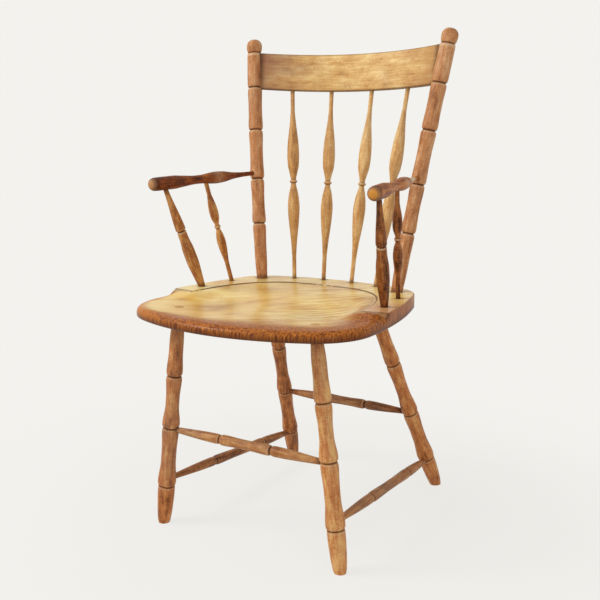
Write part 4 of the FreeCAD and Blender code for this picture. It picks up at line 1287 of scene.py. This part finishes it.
# %% [markdown]
# ## The seat's finish
#
# The dish is polished bright by use, and its grain runs slantwise over the plank in long
# waves. Towards the rolled front the varnish has stayed thick and turned brown, with short
# strokes across the roll where the end grain took more stain. On the right the brown band is
# made wider, as painted shade on the front slope of the right hollow. The deck's right end
# has a pinkish tinge, and the lower edge and the underside are painted dark as shade. The
# clear coat is thick where the dish is polished and thin on the brown, so the dish mirrors
# the sticks behind it as soft streaks.

# %% Seat wood


def turned_place(tree, place, degrees):
    """The place turned about Z, for a grain that runs slantwise."""
    turn = new_node(tree, "ShaderNodeVectorRotate", {"rotation_type": "Z_AXIS"}, Vector=place)
    turn.inputs["Angle"].default_value = math.radians(degrees)
    return turn.outputs[0]


def seat_wood():
    made = empty_material("seat_wood")
    tree = made.node_tree
    place = tree.nodes.new("ShaderNodeTexCoord").outputs["Object"]
    axes = new_node(tree, "ShaderNodeSeparateXYZ", Vector=place).outputs
    edge_gap = attribute(tree, "edge_gap").outputs["Fac"]
    dished = spread(tree, attribute(tree, "carve").outputs["Fac"], 0.4, 0.6)
    slant = turned_place(tree, place, -38)
    waves = noise(tree, slant, (9.0, 120.0, 60.0), 4.0, 0.6, 0.9)
    fine = noise(tree, slant, (30.0, 420.0, 60.0), 3.0, 0.6, 0.3)
    cloud = noise(tree, place, (7.0, 9.0, 7.0), 3.0, 0.5)
    figure = maths(tree, "ADD", maths(tree, "MULTIPLY", waves, 0.6), maths(tree, "MULTIPLY", fine, 0.4))
    right_side = spread(tree, axes["X"], -0.08, 0.12, 0.35, 1.0)
    tone = maths(tree, "ADD", maths(tree, "MULTIPLY", swung(tree, figure, right_side), 2.2), cloud)
    gold = blend_colours(tree, spread(tree, tone, 0.26, 0.48), paint("c48a3c"), paint("e8bc62"))
    gold = blend_colours(tree, spread(tree, tone, 0.46, 0.70), gold, paint("f8de92"))
    strokes = noise(tree, place, (330.0, 330.0, 34.0), 3.0, 0.6)
    brown = blend_colours(tree, spread(tree, strokes, 0.34, 0.54), paint("642a0a"), paint("b06420"))
    brown = blend_colours(tree, spread(tree, strokes, 0.56, 0.76), brown, paint("dd923c"))
    left_tip = maths(tree, "MULTIPLY", spread(tree, axes["X"], -0.08, -0.20), 0.55)
    brown = blend_colours(tree, left_tip, brown, paint("cf7e1e"))
    wavy = maths(tree, "ADD", edge_gap, swung(tree, cloud, 0.05))
    # The brown band is worn varnish, and it widens towards the right as painted shade on the front slope of
    # the right hollow.
    brown_and_shade_width = spread(tree, axes["X"], -0.14, 0.07, 0.036, 0.105)
    toward_edge = maths(tree, "DIVIDE", wavy, brown_and_shade_width)
    uncut = maths(tree, "SUBTRACT", 1.0, dished)
    on_deck = maths(tree, "MULTIPLY", uncut, spread(tree, edge_gap, 0.0, 0.004))
    right_end = maths(tree, "MULTIPLY", spread(tree, axes["X"], 0.10, 0.17), uncut)
    deck_end = maths(tree, "MULTIPLY", right_end, spread(tree, axes["Y"], 0.04, -0.04))
    gold = blend_colours(tree, maths(tree, "MULTIPLY", deck_end, 0.8), gold, paint("d49c6c"))
    polished = maths(tree, "MAXIMUM", on_deck, spread(tree, toward_edge, 0.25, 0.85))
    top = blend_colours(tree, polished, brown, gold)
    # Painted shade: the lower edge of the roll, the band, the bevel and the underside are darkened towards
    # the bottom.
    low = spread(tree, axes["Z"], 0.4085, 0.424, 1.0, 0.0)
    colour = blend_colours(tree, maths(tree, "MULTIPLY", low, 0.8), top, paint("4a2412"))
    # The scribed line is painted dark, as dirt and the shadow of its step; the pale line just inside it is a
    # painted highlight; the rings round the sockets are painted contact shade, all in the dark colour given
    # below.
    line = attribute(tree, "line").outputs["Fac"]
    pale = attribute(tree, "line_pale").outputs["Fac"]
    socket = attribute(tree, "socket").outputs["Fac"]
    colour = blend_colours(tree, maths(tree, "MULTIPLY", pale, 0.6), colour, paint("efdcae"))
    age = group_node(
        tree, AGE, Color=colour, Place=place, Groove=line, Joint=socket, Fading=0.04,
        Faded=paint("b79a6a"), Dirt=paint("5a3215"),
    )
    relief = maths(tree, "ADD", maths(tree, "MULTIPLY", fine, 0.8), age.outputs["Height"])
    rough = maths(tree, "SUBTRACT", age.outputs["Roughness"], 0.06)
    shader = surface(tree, age.outputs["Color"], rough, relief, 0.10)
    connect(tree, spread(tree, polished, 0.0, 1.0, 0.05, 0.45), shader.inputs["Coat Weight"])
    return made


WOODS["seat_wood"] = seat_wood()
run_tree(plank, SADDLE, Finish=WOODS["seat_wood"])
tidy_faces(plank)
stands_for(plank, "seat_wood", "seat")
print("seat:", len(plank.data.polygons), "faces")

# %% [markdown]
# ## Geometry Nodes: bending the crest rail
#
# The rail was sawn straight, steamed and bent round a form. We do just that: a straight
# board with rounded edges is made first, and a node tree wraps its length onto an arc. The
# place on the straight board is stored, so the grain bends with the wood.

# %% The bending tree
BOARD_HALF = CREST_RADIUS * math.asin(CREST_AT.x / CREST_RADIUS)
BOARD_THICKNESS = 0.0128
BOARD_ROUND, ROUND_STEPS, FACE_ROWS, BOARD_ROWS = 0.0030, 5, 12, 90


def build_bender():
    tree = bpy.data.node_groups.new("bend_board", "GeometryNodeTree")
    add_socket(tree, "Board", "Geometry")
    add_socket(tree, "Radius", "Float", 0.5)
    add_socket(tree, "Bow", "Float", 0.04)
    add_socket(tree, "Lean", "Float", 0.0)
    add_socket(tree, "Middle", "Vector")
    add_socket(tree, "Finish", "Material")
    add_socket(tree, "Rail", "Geometry", is_output=True)
    given = tree.nodes.new("NodeGroupInput").outputs
    straight = tree.nodes.new("GeometryNodeInputPosition").outputs[0]
    kept = new_node(
        tree, "GeometryNodeStoreNamedAttribute", {"data_type": "FLOAT_VECTOR", "domain": "POINT"},
        Geometry=given["Board"], Name="blank_place", Value=straight,
    )
    axes = new_node(tree, "ShaderNodeSeparateXYZ", Vector=straight).outputs
    turn = maths(tree, "DIVIDE", axes["X"], given["Radius"])
    reach = maths(tree, "ADD", given["Radius"], axes["Y"])
    across = maths(tree, "MULTIPLY", reach, maths(tree, "SINE", turn))
    depth = maths(tree, "MULTIPLY", reach, maths(tree, "COSINE", turn))
    depth = maths(tree, "ADD", depth, maths(tree, "SUBTRACT", given["Bow"], given["Radius"]))
    arc = new_node(tree, "ShaderNodeCombineXYZ", None, X=across, Y=depth, Z=axes["Z"])
    bent = new_node(tree, "GeometryNodeSetPosition", Geometry=kept.outputs[0], Position=arc.outputs[0])
    lean = new_node(tree, "ShaderNodeCombineXYZ", None, X=given["Lean"])
    leaned = new_node(
        tree, "GeometryNodeTransform", Geometry=bent.outputs[0], Translation=given["Middle"],
        Rotation=lean.outputs[0],
    )
    real = new_node(tree, "GeometryNodeRealizeInstances", Geometry=leaned.outputs[0])
    done = new_node(tree, "GeometryNodeSetMaterial", Geometry=real.outputs[0], Material=given["Finish"])
    out = tree.nodes.new("NodeGroupOutput")
    tree.links.new(done.outputs[0], out.inputs["Rail"])
    return tree


def board_section(height, thickness):
    """Points round a board's section (y, z), with rounded edges and a few rows up its faces."""
    points = []
    for corner, (y, z) in enumerate(((1, -1), (1, 1), (-1, 1), (-1, -1))):
        middle = np.array([y * (thickness / 2 - BOARD_ROUND), z * (height / 2 - BOARD_ROUND)])
        for angle in np.linspace(corner * 90 - 90, corner * 90, ROUND_STEPS):
            turn = math.radians(angle)
            points.append(middle + BOARD_ROUND * np.array([math.cos(turn), math.sin(turn)]))
        if corner in (0, 2):
            rise = np.linspace(z, -z, FACE_ROWS)[1:-1] * (height / 2 - BOARD_ROUND)
            points += [np.array([y * thickness / 2, h]) for h in rise]
    return np.array(points)


def straight_board(name, half, height, thickness):
    """The board before bending, lying along X, with marks for its ends and its two edges."""
    section = board_section(height, thickness)
    count = len(section)
    points, faces = [], []
    for x in np.linspace(-half, half, BOARD_ROWS):
        points += [(x, y, z) for y, z in section]
    for row in range(BOARD_ROWS - 1):
        for i in range(count):
            j = (i + 1) % count
            a, b = row * count, (row + 1) * count
            faces.append((a + i, a + j, b + j, b + i))
    faces.append(tuple(range(count))[::-1])
    faces.append(tuple(range((BOARD_ROWS - 1) * count, BOARD_ROWS * count)))
    places = np.array(points)
    marks = dict(
        along=places[:, 0] / half, rim=np.abs(places[:, 2]) / (height / 2),
        # The joint mark darkens the ends where the rail enters the posts: dirt and painted contact shade.
        joint=eased(np.abs(places[:, 0]), half - 0.024, half - 0.013),
    )
    return plain_object(name, points, faces=faces, marks=marks)


BENDER = build_bender()
print("rail is bent to a radius of", round(CREST_RADIUS, 3), "m, half length", round(BOARD_HALF, 4))

# %% [markdown]
# ## The crest rail and its finish
#
# One broad board faces the light here, so its colour carries the chair: purple-brown at its
# left end, gold in the middle where heads have leaned, and nut brown at its right end. The
# grain runs along it, and both long edges are painted darker.

# %% Crest rail


def crest_wood():
    made = empty_material("crest_wood")
    tree = made.node_tree
    own = attribute(tree, "blank_place").outputs["Vector"]
    own = new_node(tree, "ShaderNodeSeparateXYZ", Vector=own).outputs
    lengthwise = new_node(tree, "ShaderNodeCombineXYZ", None, X=own["Z"], Y=own["Y"], Z=own["X"]).outputs[0]
    world_place = tree.nodes.new("ShaderNodeTexCoord").outputs["Object"]
    grain = group_node(
        tree, GRAIN, Place=lengthwise, Deep=paint("a36c38"), Body=paint("d6a763"), Bright=paint("f0cf90"),
        Tone=0.52, Seed=2.3,
    )
    along = attribute(tree, "along").outputs["Fac"]
    cloud = noise(tree, lengthwise, (26.0, 26.0, 9.0), 3.0)
    place = maths(tree, "ADD", along, swung(tree, cloud, 0.9))
    left = spread(tree, place, -1.05, -0.25, 1.0, 0.0)
    right = spread(tree, place, 0.35, 1.15)
    colour = blend_colours(tree, maths(tree, "MULTIPLY", left, 0.85), grain.outputs["Color"], paint("8f5f4a"))
    colour = blend_colours(tree, maths(tree, "MULTIPLY", right, 0.7), colour, paint("a97444"))
    # Both long edges are painted darker.
    rim = spread(tree, attribute(tree, "rim").outputs["Fac"], 0.90, 1.0)
    colour = blend_colours(tree, maths(tree, "MULTIPLY", rim, 0.65), colour, paint("5e3a20"))
    age = group_node(
        tree, AGE, Color=colour, Place=world_place, Joint=attribute(tree, "joint").outputs["Fac"], Fading=0.2,
        Faded=paint("9a7f6a"),
    )
    surface(tree, age.outputs["Color"], age.outputs["Roughness"], wood_relief(tree, grain, age), 0.12)
    return made


WOODS["crest_wood"] = crest_wood()
rail = straight_board("crest_rail_bent", BOARD_HALF, CREST_HEIGHT, BOARD_THICKNESS)
rail_lean = math.atan2(-CREST_UP.y, CREST_UP.z)
run_tree(
    rail, BENDER, Radius=CREST_RADIUS, Bow=CREST_BOW, Lean=rail_lean,
    Middle=(0.0, CREST_AT.y, CREST_AT.z), Finish=WOODS["crest_wood"],
)
tidy_faces(rail)
stands_for(rail, "crest_wood", "crest_rail")
print("crest rail:", len(rail.data.polygons), "faces")

# %% [markdown]
# ## Tenon ends, wedges and pins
#
# The front legs come right through the seat. Their ends were split, spread with a wedge and
# cut almost flush with the dish, so each shows as a round end with a thin bar across. At
# the back, a short pin through each post holds the crest rail, and its rounded head stands
# a little proud of the post.

# %% Tenon ends and wedges
TENON_RADIUS = 0.0097
WEDGE_HALF = 0.0016
TENON_PROUD, WEDGE_PROUD = 0.0009, 0.0014
RIM_SUNK, PEG_DEPTH = 0.0002, 0.004


def flush_end(name, side, half_width, half_length, proud):
    """A low cushion that follows the dish, round or narrow, where a peg's end is cut flush."""
    foot, top = FRONT_LEG
    centre = foot.lerp(top, saddle_top(top.x, top.y) / top.z)
    rows, spokes = 5, 36
    points, faces = [], []
    for row in range(rows + 1):
        share = row / rows
        for i in range(spokes):
            turn = 2 * math.pi * i / spokes
            x = centre.x + half_width * share * math.cos(turn)
            y = centre.y + half_length * share * math.sin(turn)
            lift = proud * (1 - share ** 4) - RIM_SUNK
            points.append((x * side, y, float(saddle_top(x, y)) + lift))
    for row in range(rows):
        for i in range(spokes):
            j = (i + 1) % spokes
            a, b = row * spokes, (row + 1) * spokes
            faces.append((a + i, b + i, b + j, a + j))
    low = len(points)
    points += [(x, y, z - PEG_DEPTH) for x, y, z in points[-spokes:]]
    for i in range(spokes):
        j = (i + 1) % spokes
        faces.append((low - spokes + i, low + i, low + j, low - spokes + j))
    faces.append(tuple(range(low, low + spokes))[::-1])
    # The rim of each end and its sides are darkened where they meet the seat: dirt and painted contact shade.
    joint = [0.9 * (row / rows) ** 6 for row in range(rows + 1) for _ in range(spokes)] + [1.0] * spokes
    marks = dict(joint=joint, tone=np.full(len(joint), 0.5))
    made = plain_object(name, points, faces=faces, marks=marks)
    made.data.materials.append(WOODS["peg_wood"])
    return tidy_faces(made)


for side, sign in (("right", 1), ("left", -1)):
    end = flush_end("leg_tenon_end_" + side, sign, TENON_RADIUS, TENON_RADIUS, TENON_PROUD)
    stands_for(end, "peg_wood")
    bar = flush_end("leg_wedge_end_" + side, sign, WEDGE_HALF, TENON_RADIUS * 0.97, WEDGE_PROUD)
    stands_for(bar, "peg_wood", "leg_wedge_" + side)
print("tenon ends are", round(2000 * TENON_RADIUS, 1), "mm wide")

# %% Crest pins
PIN_RADIUS, PIN_DEPTH, PIN_REACH, PIN_DOME = 0.0026, 0.006, 0.0156, 0.0012
PIN_LENGTH = PIN_DEPTH + PIN_REACH


def pin_profile():
    """A straight pin with a low rounded head."""
    shank = np.linspace(0, PIN_LENGTH - PIN_DOME - 0.0002, 16)
    z = np.append(shank, np.linspace(PIN_LENGTH - PIN_DOME, PIN_LENGTH, 9))
    keys = [
        (0, 0.0024), (PIN_LENGTH - PIN_DOME, PIN_RADIUS), (PIN_LENGTH - PIN_DOME / 4, 0.0017),
        (PIN_LENGTH, 0.0004),
    ]
    nothing = np.zeros(len(z))
    return dict(z=z, radius=flowing(keys, z), groove=nothing, lip=nothing, joint=nothing)


rearward = (Vector((0, 1, 0)) - CREST_LEAN * CREST_LEAN.y).normalized()
inner, outer = CREST_AT - rearward * PIN_DEPTH, CREST_AT + rearward * PIN_REACH
for side, place in SIDES.items():
    pin_ends = place(inner), place(outer)
    pin = turn_stick("crest_pin_" + side, "peg_wood", pin_profile(), *pin_ends, 0.45, facets=24)
    print(pin.name, len(pin.data.polygons), "faces")

# %% [markdown]
# ## Paper, light and camera
#
# The chair stands on plain off-white paper. The paper has to do two things that fight each
# other: keep the soft shadow under the feet, and look like the same flat off-white
# everywhere else, with no horizon. The Light Path node settles it. To the camera's rays the
# paper mostly glows in the background's own colour, the more so the further out it is, and
# to the light's rays it stays ordinary paper that bounces light up under the seat.

# %% Studio paper
BACKGROUND = paint("f3f2ee")


def seen_directly(tree):
    """1 for rays that show the backdrop itself, 0 for rays that carry its light."""
    ray = tree.nodes.new("ShaderNodeLightPath").outputs
    seen = maths(tree, "MAXIMUM", ray["Is Camera Ray"], ray["Is Glossy Ray"])
    return maths(tree, "MAXIMUM", seen, ray["Is Transmission Ray"])


def mixed_shaders(tree, share, first, second, target):
    """Two shaders mixed into the output socket given."""
    mixed = tree.nodes.new("ShaderNodeMixShader")
    connect(tree, share, mixed.inputs[0])
    tree.links.new(first.outputs[0], mixed.inputs[1])
    tree.links.new(second.outputs[0], mixed.inputs[2])
    tree.links.new(mixed.outputs[0], target)


def paper_material():
    made = empty_material("studio_paper")
    tree = made.node_tree
    shader = tree.nodes["Principled BSDF"]
    shader.inputs["Base Color"].default_value = paint("e9e7e2")
    shader.inputs["Roughness"].default_value = 0.9
    shader.inputs["Specular IOR Level"].default_value = 0.1
    glow = new_node(tree, "ShaderNodeEmission", None, Color=BACKGROUND, Strength=1.0)
    away = new_node(tree, "ShaderNodeVectorMath", {"operation": "LENGTH"})
    connect(tree, tree.nodes.new("ShaderNodeTexCoord").outputs["Object"], away.inputs[0])
    clear = spread(tree, away.outputs["Value"], 0.30, 0.95, 0.84, 1.0)
    share = maths(tree, "MULTIPLY", seen_directly(tree), clear)
    mixed_shaders(tree, share, shader, glow, tree.nodes["Material Output"].inputs["Surface"])
    return made


floor_points = [(-6, -6, 0), (6, -6, 0), (6, 8, 0), (-6, 8, 0)]
floor = plain_object("studio_floor", floor_points, faces=[(0, 1, 2, 3)])
floor.data.materials.append(paper_material())
print("paper laid,", len(floor.data.polygons), "face")

# %% World light
world = bpy.data.worlds.new("studio")
bpy.context.scene.world = world
world.use_nodes = True
soft = world.node_tree.nodes["Background"]
soft.inputs["Color"].default_value = (1, 1, 1, 1)
soft.inputs["Strength"].default_value = 0.55
backdrop = new_node(world.node_tree, "ShaderNodeBackground", None, Color=BACKGROUND, Strength=1.0)
surround = world.node_tree.nodes["World Output"].inputs["Surface"]
mixed_shaders(world.node_tree, seen_directly(world.node_tree), soft, backdrop, surround)
print("world strength", round(soft.inputs["Strength"].default_value, 2))

# %% [markdown]
# Two round lamps with a wide face do the rest. The window light comes from the left and
# above, and the fill light from the right keeps the sticks' right flanks from going black.

# %% Lamps


def soft_lamp(name, place, aim, size, power):
    lamp = bpy.data.lights.new(name, "AREA")
    lamp.shape, lamp.size, lamp.energy = "DISK", size, power
    made = bpy.data.objects.new(name, lamp)
    made.location = place
    made.rotation_euler = (Vector(aim) - Vector(place)).to_track_quat("-Z", "Y").to_euler()
    bpy.context.scene.collection.objects.link(made)
    return made


lamps = [
    soft_lamp("window_light", (-1.7, -1.5, 2.2), (0, 0, 0.45), 1.1, 42),
    soft_lamp("fill_light", (2.4, -1.8, 1.4), (0, 0, 0.45), 1.6, 13),
]
print("lamps:", [(lamp.name, lamp.data.energy) for lamp in lamps])

# %% [markdown]
# The camera was found from the picture itself. The feet, leg tops, posts and finials come
# in left and right pairs, and only one place, direction and lens puts all the pairs where
# the picture has them: 31.5 degrees round to the chair's side and 11 degrees down.

# %% Camera
azimuth, pitch = math.radians(31.49), math.radians(10.87)
away = Vector((math.sin(azimuth) * math.cos(pitch), -math.cos(azimuth) * math.cos(pitch), math.sin(pitch)))
camera = bpy.data.objects.new("camera", bpy.data.cameras.new("camera"))
bpy.context.scene.collection.objects.link(camera)
camera.location = (0.8626, -1.39884, 0.7370)
camera.rotation_euler = (-away).to_track_quat("-Z", "Y").to_euler()
camera.data.lens, camera.data.sensor_width = 53.55, 36.0
bpy.context.scene.camera = camera
bpy.context.scene.view_settings.view_transform = "Standard"
print("camera", [round(v, 3) for v in camera.location], "lens", round(camera.data.lens, 2), "mm")
